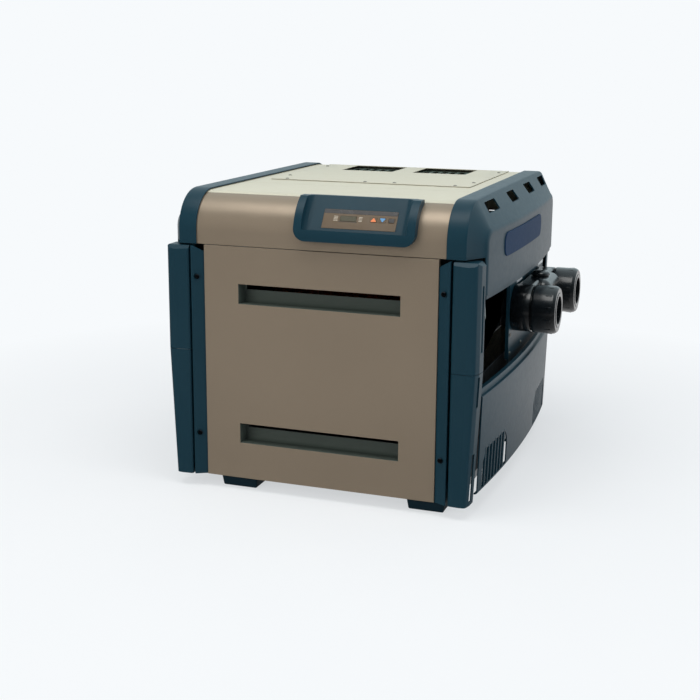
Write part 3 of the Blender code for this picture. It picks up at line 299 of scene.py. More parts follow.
MATERIALS = {
    "tan_paint": powder_coat("tan_powder_coat", TAN, 0.4, 0.34, 0.12),
    "cream_paint": powder_coat("cream_powder_coat", CREAM, 0.0, 0.48, 0.3),
    "slate_plastic": moulded("slate_moulding", SLATE, 0.36, 0.05, specular=0.22),
    "badge_plastic": moulded("badge_moulding", srgb(30, 52, 80), 0.6, 0.04, specular=0.1),
    "black_plastic": moulded("black_moulding", BLACK, 0.24, 0.02, gloss=0.4),
    "foot_rubber": moulded("foot_moulding", srgb(14, 36, 46), 0.5, 0.2, specular=0.15),
    "galvanised_steel": galvanised_sheet("galvanised_sheet", srgb(176, 180, 184), 0.4),
    # Zinc sheet darkened far below bright galvanised: painted shade for the frame seen in shadow through the side
    # louvres.
    "frame_zinc_painted_shade": galvanised_sheet("frame_zinc_painted_shade", srgb(62, 66, 70), 0.6),
    "dark_steel": powder_coat("dark_coat", srgb(34, 36, 38), 0.3, 0.5, 0.35),
    # Darker greenish grey for the insides of the front panel's pockets: painted shade for the shade inside the
    # louvre slots.
    "pocket_painted_shade": powder_coat("pocket_painted_shade_coat", srgb(74, 82, 76), 0.0, 0.5, 0.2),
    "grille_paint": powder_coat("grille_coat", srgb(62, 76, 66), 0.0, 0.5, 0.3),
    "refractory": fire_board("fire_board", srgb(190, 180, 160)),
    "copper": machined("copper_sheet", srgb(200, 118, 84), 0.34, (1, 1, 8)),
    "brass": machined("turned_brass", srgb(214, 160, 96), 0.3, (1, 12, 1)),
    "spring_steel": machined("spring_wire", srgb(170, 170, 172), 0.3, (1, 1, 1)),
    "circuit_board": circuit("circuit_board_face"),
    "keypad_film": printed_film("keypad_print", srgb(90, 72, 50)),
    "keypad_strip": printed_film("keypad_strip_print", srgb(26, 22, 24), 0.3),
    "cream_print": printed_film("cream_print", srgb(214, 204, 186)),
    "label_white": printed_film("white_label", srgb(226, 230, 230), 0.5),
    "display_lens": display("display_window"),
    "key_orange": printed_film("orange_key", srgb(226, 120, 62), 0.35),
    "key_blue": printed_film("blue_key", srgb(86, 146, 196), 0.35),
    "screw_black": machined("black_screw", srgb(40, 42, 46), 0.25, (1, 1, 1)),
    "screw_zinc": machined("zinc_screw", srgb(150, 146, 136), 0.35, (1, 1, 1)),
    "wire_black": moulded("wire_black", srgb(18, 18, 20), 0.4, 0.1),
    "wire_grey": moulded("wire_grey", srgb(120, 126, 130), 0.4, 0.1),
    "wire_red": moulded("wire_red", srgb(150, 40, 34), 0.4, 0.1),
    "clear_tube": clear_tube("clear_tube"),
}


# ---------------------------------------------------------------- pieces

def finish_piece(obj, material, body="root", stands_for=()):
    """Gives a new piece its material, its body and the CAD nodes it stands for."""
    obj.data.materials.clear()
    obj.data.materials.append(MATERIALS[material])
    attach(obj, body)
    if stands_for:
        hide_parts(*stands_for)
    return obj


def link(name, mesh, hidden=False):
    obj = bpy.data.objects.new(name, mesh)
    bpy.context.scene.collection.objects.link(obj)
    if hidden:
        obj.hide_render = True
        obj.hide_viewport = False
    return obj


def mesh_of(name, bm):
    bmesh.ops.recalc_face_normals(bm, faces=bm.faces)
    mesh = bpy.data.meshes.new(name)
    bm.to_mesh(mesh)
    bm.free()
    return mesh


def box_mesh(bm, low, high):
    low, high = at(*low), at(*high)
    placed = Matrix.Translation((low + high) / 2) @ Matrix.Diagonal((*(high - low), 1.0))
    return bmesh.ops.create_cube(bm, size=1.0, matrix=placed)["verts"]


def boxes(name, corners):
    bm = bmesh.new()
    for low, high in corners:
        box_mesh(bm, low, high)
    return link(name, mesh_of(name, bm))


def round_points(corners, steps=6, closed=True):
    """A polyline whose corners (a, b, radius) are rounded with arcs."""
    points = []
    count = len(corners)
    for index, (a, b, radius) in enumerate(corners):
        here = Vector((a, b))
        if radius <= 0 or (not closed and index in (0, count - 1)):
            points.append(here)
            continue
        before = Vector(corners[index - 1][:2]) - here
        after = Vector(corners[(index + 1) % count][:2]) - here
        half = before.angle(after) / 2
        reach = min(radius / math.tan(half), before.length * 0.49, after.length * 0.49)
        radius = reach * math.tan(half)
        middle = here + (before.normalized() + after.normalized()).normalized() * radius / math.sin(half)
        start = here + before.normalized() * reach - middle
        sweep = start.angle_signed(here + after.normalized() * reach - middle)
        for step in range(steps + 1):
            turn = Matrix.Rotation(-sweep * step / steps, 2)
            points.append(middle + turn @ start)
    return [(point.x, point.y) for point in points]


PLACE = {
    "x": lambda a, b, c: at(c, a, b),
    "y": lambda a, b, c: at(a, c, b),
    "z": lambda a, b, c: at(a, b, c),
}


def prism(name, outline, axis, low, high):
    """A flat outline given in the two other axes, in X, Y, Z order, made thick from low to high."""
    bm = bmesh.new()
    floor = [bm.verts.new(PLACE[axis](a, b, low)) for a, b in outline]
    roof = [bm.verts.new(PLACE[axis](a, b, high)) for a, b in outline]
    bm.faces.new(floor)
    bm.faces.new(roof[::-1])
    for i in range(len(outline)):
        j = (i + 1) % len(outline)
        bm.faces.new((floor[i], roof[i], roof[j], floor[j]))
    return link(name, mesh_of(name, bm))


def arc(centre, radius, start, end, steps):
    points = []
    for step in range(steps + 1):
        angle = math.radians(start + (end - start) * step / steps)
        points.append((centre[0] + radius * math.cos(angle), centre[1] + radius * math.sin(angle)))
    return points


def rod(name, start, end, radius, end_radius=None, segments=32):
    """A cylinder or cone between two points in the frame's metres."""
    along = end - start
    bm = bmesh.new()
    bmesh.ops.create_cone(
        bm, cap_ends=True, segments=segments, depth=along.length,
        radius1=radius * MM, radius2=(radius if end_radius is None else end_radius) * MM,
    )
    turn = along.to_track_quat("Z", "Y").to_matrix().to_4x4()
    bmesh.ops.transform(bm, matrix=Matrix.Translation((start + end) / 2) @ turn, verts=bm.verts)
    return link(name, mesh_of(name, bm))


def turned(name, profile, start, direction, segments=64, closed=True):
    """A profile of (along, radius) points turned about the line from start."""
    turn = Vector(direction).to_track_quat("Z", "Y").to_matrix()
    bm = bmesh.new()
    rings = []
    for along, radius in profile:
        ring = []
        for step in range(segments):
            angle = math.tau * step / segments
            point = Vector((radius * math.cos(angle), radius * math.sin(angle), along)) * MM
            ring.append(bm.verts.new(start + turn @ point))
        rings.append(ring)
    pairs = list(zip(rings, rings[1:] + rings[:1])) if closed else list(zip(rings, rings[1:]))
    for first, second in pairs:
        for i in range(segments):
            j = (i + 1) % segments
            bm.faces.new((first[i], first[j], second[j], second[i]))
    bmesh.ops.remove_doubles(bm, verts=bm.verts, dist=1e-6)
    bmesh.ops.dissolve_degenerate(bm, dist=1e-6, edges=bm.edges)
    if not closed:
        bmesh.ops.holes_fill(bm, edges=bm.edges)
    return link(name, mesh_of(name, bm))


def apply_all(obj):
    """Turns a piece's modifiers into its mesh, and removes the cutters it used."""
    cutters = [m.object for m in obj.modifiers if m.type == "BOOLEAN" and m.object]
    bpy.context.view_layer.update()
    graph = bpy.context.evaluated_depsgraph_get()
    made = bpy.data.meshes.new_from_object(obj.evaluated_get(graph))
    obj.modifiers.clear()
    old, obj.data = obj.data, made
    bpy.data.meshes.remove(old)
    for cutter in cutters:
        bpy.data.objects.remove(cutter, do_unlink=True)
    return obj


def combine(obj, others, operation):
    for other in others:
        modifier = obj.modifiers.new(other.name, "BOOLEAN")
        modifier.operation = operation
        modifier.object = other
        modifier.solver = "EXACT"
    return apply_all(obj)


def cut(obj, *others):
    return combine(obj, others, "DIFFERENCE")


def join(obj, *others):
    return combine(obj, others, "UNION")


def soften(obj, width, segments=3, angle=30.0, clamp=True):
    """Rounds the sharp edges and shades the piece smooth."""
    bevel = obj.modifiers.new("Bevel", "BEVEL")
    bevel.width = width * MM
    bevel.segments = segments
    bevel.limit_method = "ANGLE"
    bevel.angle_limit = math.radians(angle)
    bevel.use_clamp_overlap = clamp
    bevel.miter_outer = "MITER_ARC"
    obj.data.shade_smooth()
    normals = obj.modifiers.new("Normals", "WEIGHTED_NORMAL")
    normals.keep_sharp = True
    return obj


def bevel_edges(obj, width, segments, chosen):
    """Rounds only the edges that chosen() picks."""
    bm = bmesh.new()
    bm.from_mesh(obj.data)
    bm.normal_update()
    edges = [edge for edge in bm.edges if len(edge.link_faces) == 2 and chosen(edge)]
    bmesh.ops.bevel(
        bm, geom=edges, offset=width * MM, segments=segments, profile=0.5, affect="EDGES", clamp_overlap=True,
    )
    bm.to_mesh(obj.data)
    bm.free()
    return obj


def refine(node, material, width=0.5, segments=2):
    """Dresses a CAD node that stays. With a width, its flat faces are merged and its edges rounded."""
    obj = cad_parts[node]
    mesh = obj.data
    mesh.materials.clear()
    mesh.materials.append(MATERIALS[material])
    if "custom_normal" in mesh.attributes:
        mesh.attributes.remove(mesh.attributes["custom_normal"])
    weld = obj.modifiers.new("Weld", "WELD")
    weld.merge_threshold = 0.00002
    if width:
        flat = obj.modifiers.new("Flat", "DECIMATE")
        flat.decimate_type = "DISSOLVE"
        flat.angle_limit = math.radians(0.8)
        soften(obj, width, segments)
    else:
        mesh.shade_smooth()
        normals = obj.modifiers.new("Normals", "WEIGHTED_NORMAL")
        normals.keep_sharp = True
    return obj


def tube(name, points, radius, material, body="root", smooth=True):
    """A cable, hose or pipe through points in the cabinet's millimetres."""
    curve = bpy.data.curves.new(name, "CURVE")
    curve.dimensions = "3D"
    curve.bevel_depth = radius * MM
    curve.bevel_resolution = 4
    curve.resolution_u = 10
    curve.use_fill_caps = True
    spline = curve.splines.new("BEZIER" if smooth else "POLY")
    if smooth:
        spline.bezier_points.add(len(points) - 1)
        for point, place in zip(spline.bezier_points, points):
            point.co = at(*place)
            point.handle_left_type = point.handle_right_type = "AUTO"
    else:
        spline.points.add(len(points) - 1)
        for point, place in zip(spline.points, points):
            point.co = (*at(*place), 1.0)
    holder = link(name, curve)
    bpy.context.view_layer.update()
    made = bpy.data.meshes.new_from_object(holder.evaluated_get(bpy.context.evaluated_depsgraph_get()))
    bpy.data.objects.remove(holder, do_unlink=True)
    bm = bmesh.new()
    bm.from_mesh(made)
    bmesh.ops.remove_doubles(bm, verts=bm.verts, dist=1e-6)
    bmesh.ops.recalc_face_normals(bm, faces=bm.faces)
    bm.to_mesh(made)
    bm.free()
    made.shade_smooth()
    made.set_sharp_from_angle(angle=math.radians(50))
    return finish_piece(link(name, made), material, body)


# ---------------------------------------------------------------- CAD nodes that stay

KEPT = {
    "galvanised_steel": (
        "base_pan", "gas_manifold", "flue_collector", "junction_box", "pressure_switch",
        "blower_wheel", "gas_valve",
    ),
    # The frame takes the darkened zinc, which is painted shade inside the cabinet.
    "frame_zinc_painted_shade": ("cabinet_frame",),
    "grille_paint": ("exhaust_grille",),
    "dark_steel": ("burner_tray", "blower_housing", "blower_motor", "gas_inlet_pipe"),
    "refractory": ("combustion_chamber",),
    "copper": ("heat_exchanger",),
    "brass": ("drain_plug", "bypass_poppet"),
    "spring_steel": ("bypass_spring",),
    "circuit_board": ("control_board",),
    "black_plastic": ("return_header", "gas_valve_knob"),
    "foot_rubber": ("foot_front_left", "foot_front_right", "foot_rear_left", "foot_rear_right"),
    "tan_paint": ("rear_panel",),
    "cream_paint": ("top_panel", "exhaust_cover"),
    "slate_plastic": ("left_service_plate", "right_service_plate"),
}
UNROUNDED = {
    "bypass_spring", "blower_wheel", "gas_inlet_pipe", "flue_collector", "heat_exchanger",
    "exhaust_cover", "exhaust_grille", "top_panel",
}
EDGE_MM = {"rear_panel": 1.2, "cabinet_frame": 0.3}


def dress_kept_nodes():
    for material, nodes in KEPT.items():
        for node in nodes:
            refine(node, material, 0 if node in UNROUNDED else EDGE_MM.get(node, 0.8))


# ---------------------------------------------------------------- painted panels

def make_front_panel():
    """The front access panel: folded edges and two pressed pockets with soft lips, their insides painted a darker
    grey as painted shade.
    """
    wide = PANEL_HIGH.x
    low, high = PANEL_LOW.z, PANEL_HIGH.z
    sheet = 1.5
    panel = boxes("front_panel_face", [((-wide, 0, low), (wide, 14, high))])
    cut(panel, boxes("panel_inside", [((-wide + sheet, sheet, low + sheet), (wide - sheet, 30, high - sheet))]))
    slot_half = 169.0
    for index, (slot_low, slot_high) in enumerate(((393.0, 433.0), (103.0, 144.0))):
        far = slot_half + sheet
        pocket = boxes(f"pocket_{index}", [((-far, 0.7, slot_low - sheet), (far, 35 + sheet, slot_high + sheet))])
        join(panel, pocket)
        outline = [(-2.0, slot_low)] + arc((25.0, slot_low + 10), 10, 270, 360, 10)
        outline += [(35.0, slot_high), (-2.0, slot_high)]
        cut(panel, prism(f"pocket_hollow_{index}", outline, "x", -slot_half, slot_half))
        gap = ((-slot_half + 3, 30, slot_low + 24), (slot_half - 3, 40, slot_high - 1))
        cut(panel, boxes(f"pocket_gap_{index}", [gap]))
    soften(panel, 1.0, 3)
    finish_piece(panel, "tan_paint", "access_panel", ["front_access_panel"])
    # Faces inside the two pockets take the darker greenish grey: painted shade where the pockets lie in shadow.
    panel.data.materials.append(MATERIALS["pocket_painted_shade"])
    for face in panel.data.polygons:
        depth = (face.center.y - FRONT_Y) / MM
        heights = [low < face.center.z / MM < high for low, high in ((390, 436), (100, 147))]
        if depth > 1.8 and abs(face.center.x) < (slot_half + 0.7) * MM and any(heights):
            face.material_index = 1
    return panel


SEAM_DEGREES = 108.5
TUB_X = (-32.0, 187.0)


def make_upper_front_panel():
    """The rounded tan panel over the front edge, notched where the control hood drops in."""
    low, high = node_box("upper_front_panel")

    def path(radius):
        start = [(CORNER_RADIUS - radius, low.z)]
        return start + arc((CORNER_RADIUS, CORNER_Z), radius, 180, SEAM_DEGREES, 26)

    panel = prism("upper_front_skin", path(CORNER_RADIUS) + path(CORNER_RADIUS - 1.5)[::-1], "x", low.x, high.x)
    cut(panel, boxes("pad_opening", [((TUB_X[0] - 3, -30, 538), (TUB_X[1] + 3, 66, 640))]))
    soften(panel, 0.5, 2, angle=40)
    return finish_piece(panel, "tan_paint", "root", ["upper_front_panel"])


# ---------------------------------------------------------------- plastic side mouldings

def bow_x(base_x, y):
    """The side faces bow outwards between the front and the rear."""
    middle = DEPTH / 2
    return base_x + BOW * (1 - ((y - middle) / middle) ** 2)


def both_ends(points):
    """Front-half points in Y and Z, followed by the same points mirrored to the rear."""
    return points + [(DEPTH - y, z) for y, z in reversed(points)]


RUN_YS = (110.0, 150.0, 200.0, 255.0, 315.0)


def rim_outline(inset):
    """The cap's outline over the top of the cabinet, drawn inwards by inset."""
    radius = RIM_RADIUS - inset
    points = [(CORNER_RADIUS - radius, 510.0)]
    points += arc((CORNER_RADIUS, CORNER_Z), radius, 180, 90, 20)
    points += [(y, CORNER_Z + radius) for y in RUN_YS]
    return both_ends(points)


def side_outline(inset, radius):
    """The outline of the cap's side face, drawn inwards by inset."""
    edge = SIDE_INSET_Y + inset
    top = CAP_SIDE_TOP_Z - inset
    points = [(edge, 510.0)]
    points += arc((edge + radius, top - radius), radius, 180, 90, 20)
    points += [(y, top) for y in RUN_YS]
    return both_ends(points)


def blend_outlines(first, second, share):
    return [(a[0] + (b[0] - a[0]) * share, a[1] + (b[1] - a[1]) * share) for a, b in zip(first, second)]


def cap_bands(sign):
    """Rings of points from the rim's inner edge, over the rim, down the slope and round onto the side face."""
    bands = [
        [(sign * x, y, z) for y, z in rim_outline(inset)]
        for x, inset in (
            (RIM_INNER_X, 1.6), (RIM_INNER_X + 0.5, 0.6), (RIM_INNER_X + 1.6, 0.0),
            (276.0, 0.0), (RIM_OUTER_X - 3, 0.0), (RIM_OUTER_X, 0.4), (RIM_OUTER_X + 2.4, 1.6),
        )
    ]
    rim, shoulder = rim_outline(1.6), side_outline(0.0, 26.0)
    crown = side_outline(10.0, 20.0)
    for share in (0.2, 0.4, 0.6, 0.8, 0.93):
        edge = RIM_OUTER_X + 2.4
        place = blend_outlines(rim, shoulder, share)
        bands.append([(sign * (edge + (bow_x(CAP_SIDE_X, y) - 4.2 - edge) * share), y, z) for y, z in place])
    for share, drop in ((0.0, 3.4), (0.22, 1.8), (0.5, 0.7), (0.78, 0.15), (1.0, 0.0)):
        place = blend_outlines(shoulder, crown, share)
        bands.append([(sign * (bow_x(CAP_SIDE_X, y) - drop), y, z) for y, z in place])
    return bands


def bridge(bm, first, second):
    for i in range(len(first) - 1):
        bm.faces.new((first[i], first[i + 1], second[i + 1], second[i]))


def dropped(bm, vertex, sign, inward, z):
    return bm.verts.new((vertex.co.x - sign * inward * MM, vertex.co.y, z * MM))


def cap_surface(side, sign):
    """The cap's outer skin as an open sheet."""
    bm = bmesh.new()
    grid = [[bm.verts.new(at(*point)) for point in band] for band in cap_bands(sign)]
    for first, second in zip(grid, grid[1:]):
        bridge(bm, first, second)
    bottom = CAP_LIP_Z + 9
    edge_rows = grid[-5:]
    front = [dropped(bm, row[0], sign, 0.0, bottom) for row in edge_rows]
    rear = [dropped(bm, row[-1], sign, 0.0, bottom) for row in edge_rows]
    bridge(bm, [row[0] for row in edge_rows], front)
    bridge(bm, [row[-1] for row in edge_rows], rear)
    crown = grid[-1]
    corner = 21
    columns = crown[corner:-corner]
    base = [dropped(bm, vertex, sign, 0.0, bottom) for vertex in columns]
    bm.faces.new(crown[:corner + 1] + [base[0], front[-1]])
    bridge(bm, columns, base)
    bm.faces.new([rear[-1], base[-1]] + crown[-corner - 1:])
    hem = front[-1:] + base + rear[-1:]
    rounded = [dropped(bm, vertex, sign, 0.5, bottom - 0.8) for vertex in hem]
    lip = [dropped(bm, vertex, sign, 3.2, bottom - 1.3) for vertex in hem]
    lower = [dropped(bm, vertex, sign, 0.0, CAP_LIP_Z) for vertex in lip]
    for first, second in ((hem, rounded), (rounded, lip), (lip, lower)):
        bridge(bm, first, second)
    bmesh.ops.recalc_face_normals(bm, faces=bm.faces)
    if sum(face.normal.x * sign * face.calc_area() for face in bm.faces) < 0:
        bmesh.ops.reverse_faces(bm, faces=bm.faces)
    mesh = bpy.data.meshes.new(f"{side}_cap_skin")
    bm.to_mesh(mesh)
    bm.free()
    return link(f"{side}_cap_skin", mesh)


def make_end_cap(side, sign):
    cap = cap_surface(side, sign)
    thick = cap.modifiers.new("Solidify", "SOLIDIFY")
    thick.thickness = 2.6 * MM
    thick.offset = -1.0
    thick.use_even_offset = True
    apply_all(cap)
    x = sorted((sign * 292.0, sign * 356.0))
    for index, (near, far) in enumerate(((105.0, 186.0), (291.0, 355.0), (459.0, 527.0), (616.0, 681.0))):
        vent = boxes(f"{side}_vent_{index}", [((x[0], near, 586), (x[1], far, 606))])
        bevel_edges(vent, 3.0, 3, lambda edge: abs((edge.verts[0].co - edge.verts[1].co).x) > 0.02)
        cut(cap, vent)
    soften(cap, 0.7, 2, angle=32)
    return finish_piece(cap, "slate_plastic", "root", [f"{side}_end_cap"])


BADGE_Y = (150.0, 480.0)
BADGE_Z = (495.0, 543.0)


def make_badge(side, sign):
    """A blank raised lozenge on the cap, bowed with it."""
    (near, far), (low, high) = BADGE_Y, BADGE_Z
    outline = round_points([(near, low, 20), (far, low, 20), (far, high, 20), (near, high, 20)], 10)
    x = sorted((sign * (CAP_SIDE_X - 1.0), sign * (CAP_SIDE_X + 2.2)))
    badge = prism(f"{side}_blank_badge", outline, "x", *x)
    bm = bmesh.new()
    bm.from_mesh(badge.data)
    columns = 22
    for column in range(1, columns):
        place = at(0, near + (far - near) * column / columns, 0)
        parts = bm.verts[:] + bm.edges[:] + bm.faces[:]
        bmesh.ops.bisect_plane(bm, geom=parts, plane_co=place, plane_no=(0, 1, 0), dist=1e-6)
    for vertex in bm.verts:
        y = (vertex.co.y - FRONT_Y) / MM
        vertex.co.x += sign * (bow_x(CAP_SIDE_X, y) - CAP_SIDE_X) * MM
    bm.to_mesh(badge.data)
    bm.free()
    soften(badge, 0.8, 3)
    return finish_piece(badge, "badge_plastic")


def make_lower_panel(side, sign):
    """The bowed lower panel: a stepped ledge along the top and arched ribbed louvres at both lower corners."""
    low, high = node_box(f"{side}_lower_side_panel")
    front, rear = low.y, high.y
    top_z = 240.0
    bottom_x = 316.5
    levels = [(low.z, bottom_x - 7.0), (low.z + 1.0, bottom_x - 2.5), (low.z + 3.6, bottom_x)]
    levels += [(z, bottom_x + (CAP_SIDE_X - bottom_x) * (z - low.z) / (top_z - low.z)) for z in range(60, 236, 14)]
    levels += [
        (top_z - 2.4, CAP_SIDE_X), (top_z - 0.6, CAP_SIDE_X - 0.8), (top_z, CAP_SIDE_X - 2.4),
        (top_z + 0.4, CAP_SIDE_X - 6.2), (top_z + 1.6, CAP_SIDE_X - 6.8), (high.z - 3.4, CAP_SIDE_X - 7.4),
        (high.z - 2.2, CAP_SIDE_X - 8.2), (high.z - 1.6, CAP_SIDE_X - 10), (high.z - 1.6, CAP_SIDE_X - 16),
    ]
    steps = 34
    ys = [front + (rear - front) * step / steps for step in range(steps + 1)]
    bm = bmesh.new()
    grid = [[bm.verts.new(at(sign * bow_x(base_x, y), y, z)) for y in ys] for z, base_x in levels]
    for first, second in zip(grid, grid[1:]):
        bridge(bm, first, second)
    bmesh.ops.recalc_face_normals(bm, faces=bm.faces)
    if sum(face.normal.x * sign * face.calc_area() for face in bm.faces) < 0:
        bmesh.ops.reverse_faces(bm, faces=bm.faces)
    mesh = bpy.data.meshes.new(f"{side}_lower_skin")
    bm.to_mesh(mesh)
    bm.free()
    panel = link(f"{side}_lower_skin", mesh)
    thick = panel.modifiers.new("Solidify", "SOLIDIFY")
    thick.thickness = 2.6 * MM
    thick.offset = -1.0
    thick.use_even_offset = True
    apply_all(panel)
    cut(panel, louvre_windows(side, sign))
    join(panel, louvre_slats(side, sign))
    soften(panel, 0.5, 2, angle=35)
    return finish_piece(panel, "slate_plastic", "root", [f"{side}_lower_side_panel"])


LOUVRE_Y = (63.0, 235.0)
LOUVRE_Z = (46.0, 123.0)
RIB_COUNT = 7
PANEL_LEAN = 7.0 / 201.0


def louvre_outline(mirrored):
    """The window at a lower corner, in Y and Z: its inner top corner is round and its outer one slopes."""
    near, far = LOUVRE_Y
    low, high = LOUVRE_Z
    corners = [(near, low, 2), (far, low, 2), (far, high, 34), (near + 21, high, 10), (near, high - 26, 8)]
    if mirrored:
        corners = [(DEPTH - y, z, radius) for y, z, radius in corners]
    return round_points(corners, 8)


def louvre_windows(side, sign):
    x = sorted((sign * 296.0, sign * 352.0))
    windows = [prism(f"{side}_window_{mirrored}", louvre_outline(mirrored), "x", *x) for mirrored in (False, True)]
    return join(windows[0], windows[1])


def louvre_slats(side, sign):
    """Upright ribs a little behind the skin, each turned slightly like a louvre."""
    pitch = (LOUVRE_Y[1] - LOUVRE_Y[0]) / (RIB_COUNT + 1)
    half, base_x = 7.4, 316.5
    bm = bmesh.new()
    for mirrored in (False, True):
        for index in range(RIB_COUNT):
            reach = LOUVRE_Y[0] + (index + 1) * pitch
            y = DEPTH - reach if mirrored else reach
            front = bow_x(base_x, y)
            outline = [
                (sign * (front - 5.0), y - half), (sign * (front - 1.0), y - half),
                (sign * (front - 0.4), y - half + 2.0), (sign * (front - 1.9), y + half), (sign * (front - 5.0), y + half),
            ]
            rib = prism(f"{side}_rib_{mirrored}_{index}", outline, "z", LOUVRE_Z[0] - 3, LOUVRE_Z[1] + 3)
            for vertex in rib.data.vertices:
                vertex.co.x += sign * PANEL_LEAN * (vertex.co.z - 39.0 * MM)
            bm.from_mesh(rib.data)
            bpy.data.objects.remove(rib, do_unlink=True)
    mesh = bpy.data.meshes.new(f"{side}_ribs")
    bm.to_mesh(mesh)
    bm.free()
    return link(f"{side}_ribs", mesh)


# ---------------------------------------------------------------- corner posts and strips

POST_OUTER = (
    (273.5, 12.0, 0), (273.5, -8.0, 2.2), (276.5, -10.4, 2.2), (304.0, -12.0, 10.0),
    (319.5, -10.2, 9.0), (325.6, 6.0, 14.0), (327.5, 30.0, 1.2), (300.0, 30.0, 0),
)
POST_INNER = (
    (276.8, 24.0, 0), (276.8, -5.0, 1), (304.0, -8.8, 8), (316.5, -7.2, 7),
    (322.4, 6.0, 10), (324.4, 31.0, 0), (300.0, 44.0, 0),
)
POST_FOOT_Z = node_box("front_corner_post_lower_right")[0].z
POST_SPLIT_Z = node_box("front_corner_post_lower_right")[1].z
POST_TOP_Z = POST_HIGH.z
POST_CHAMFER = 8.0
POST_X = 273.5
REAR_POST_WIDTH = 0.75
REAR_POST_LEAN = 8.0
POST_LEAN = 10.4


def across(sign, low, high):
    """A pair of X values mirrored to a side, lower first."""
    return sorted((sign * low, sign * high))


def sided_box(name, sign, x, y, z):
    x = across(sign, *x)
    return boxes(name, [((x[0], y[0], z[0]), (x[1], y[1], z[1]))])


def post_shape(name, corners, low, high, sign, front_y):
    """A corner moulding's outline raised from low to high. A rear one mirrors a front one and is narrower."""
    turn, width = (1.0, 1.0) if front_y == 0.0 else (-1.0, REAR_POST_WIDTH)
    places = [(sign * (POST_X + (x - POST_X) * width), front_y + turn * y) for x, y in round_points(corners, 7)]
    return prism(name, places, "z", low, high)


def lean_in(obj, low_z, high_z, sign, amount=POST_LEAN):
    """Draws the outer side in towards the ground."""
    for vertex in obj.data.vertices:
        share = max((high_z * MM - vertex.co.z) / ((high_z - low_z) * MM), 0.0)
        reach = (abs(vertex.co.x) / MM - POST_X) / 43.5
        vertex.co.x -= sign * amount * MM * share * reach


def chamfer_top(post, outer_x, outer_y):
    """Takes the front and outer top edges off at 45 degrees. The signs of the places give the sides."""
    rise = 24.0
    high, low = POST_TOP_Z + POST_CHAMFER, POST_TOP_Z + POST_CHAMFER - rise
    inner_x = outer_x - math.copysign(rise, outer_x)
    inner_y = outer_y + (rise if outer_y < 0 else -rise)
    cut(post, prism("chamfer_y", [(outer_y, low), (inner_y, high), (outer_y, high)], "x", -400, 400))
    cut(post, prism("chamfer_x", [(outer_x, low), (inner_x, high), (outer_x, high)], "y", -50, DEPTH + 50))


def make_upper_post(side, sign):
    low, top = POST_SPLIT_Z + 0.7, POST_TOP_Z
    post = post_shape(f"{side}_post_upper", POST_OUTER, low, top, sign, 0.0)
    cut(post, post_shape(f"{side}_post_hollow", POST_INNER, low - 5, top - 12, sign, 0.0))
    cut(post, sided_box(f"{side}_post_groove", sign, (324.9, 332), (11, 21), (332, 460)))
    chamfer_top(post, sign * 335.5, -20.0)
    soften(post, 1.2, 3, angle=30)
    return finish_piece(post, "slate_plastic", "root", [f"front_corner_post_upper_{side}"])


def make_lower_post(side, sign):
    low, high = POST_FOOT_Z, POST_SPLIT_Z
    post = post_shape(f"{side}_post_lower", POST_OUTER, low, high, sign, 0.0)
    lean_in(post, low, high, sign)
    hollow = post_shape(f"{side}_post_hollow", POST_INNER, low - 5, high + 5, sign, 0.0)
    lean_in(hollow, low, high, sign)
    cut(post, hollow)
    channel = sided_box(f"{side}_post_channel", sign, (323.0, 340), (3, 12), (226, 286))
    notch = sided_box(f"{side}_post_notch", sign, (322.4, 340), (3, 15), (27.0 + 8, 132))
    for cutter in (channel, notch):
        lean_in(cutter, low, high, sign)
        cut(post, cutter)
    soften(post, 0.8, 2, angle=40)
    return finish_piece(post, "slate_plastic", "root", [f"front_corner_post_lower_{side}"])


def make_rear_post(side, sign):
    low, high = POST_FOOT_Z, POST_TOP_Z
    post = post_shape(f"{side}_post_rear", POST_OUTER, low, high, sign, DEPTH)
    hollow = post_shape(f"{side}_post_hollow", POST_INNER, low - 5, high - 12, sign, DEPTH)
    for shape in (post, hollow):
        lean_in(shape, low, high, sign, REAR_POST_LEAN)
    cut(post, hollow)
    chamfer_top(post, sign * 322.0, DEPTH + 20.0)
    soften(post, 1.0, 3, angle=30)
    return finish_piece(post, "slate_plastic", "root", [f"rear_corner_post_{side}"])


STRIP_SECTION = (
    (244, 14, 0), (244, 2.5, 1.2), (266.5, -10, 1.5), (269, -9, 1.0), (269, 14, 0),
    (266, 14, 0), (266, -6.2, 0), (247, 4.4, 0), (247, 14, 0),
)
SCREW_X = 256.0
SCREW_ZS = {"upper": 444.0, "lower": 117.0}


def make_trim_strip(side, sign):
    """The folded strip between the panel and the post. Its top rises outwards, with a rounded corner."""
    low, high = 27.3, 493.0
    outline = [(sign * x, y) for x, y in round_points(STRIP_SECTION, 4)]
    strip = prism(f"{side}_trim_strip", outline, "z", low, high)
    for vertex in strip.data.vertices:
        if vertex.co.z > (high - 1) * MM:
            share = (abs(vertex.co.x) / MM - 244) / 25
            vertex.co.z += math.sin(share * math.pi / 2) * 13.5 * MM
    for z in SCREW_ZS.values():
        x = sign * SCREW_X
        cut(strip, rod(f"strip_hole_{z:.0f}", at(x, -20, z), at(x, 13, z), 2.6, segments=20))
        cut(strip, rod(f"strip_dish_{z:.0f}", at(x, -20, z), at(x, -5.0, z), 7.6, segments=40))
    soften(strip, 0.7, 2, angle=35)
    return finish_piece(strip, "slate_plastic", "access_panel", [f"trim_strip_{side}"])


PAN_HEAD = ((0.0, 0.01), (0.1, 1.6), (0.5, 3.2), (1.3, 4.5), (2.1, 5.1), (2.7, 5.2), (2.7, 0.01))


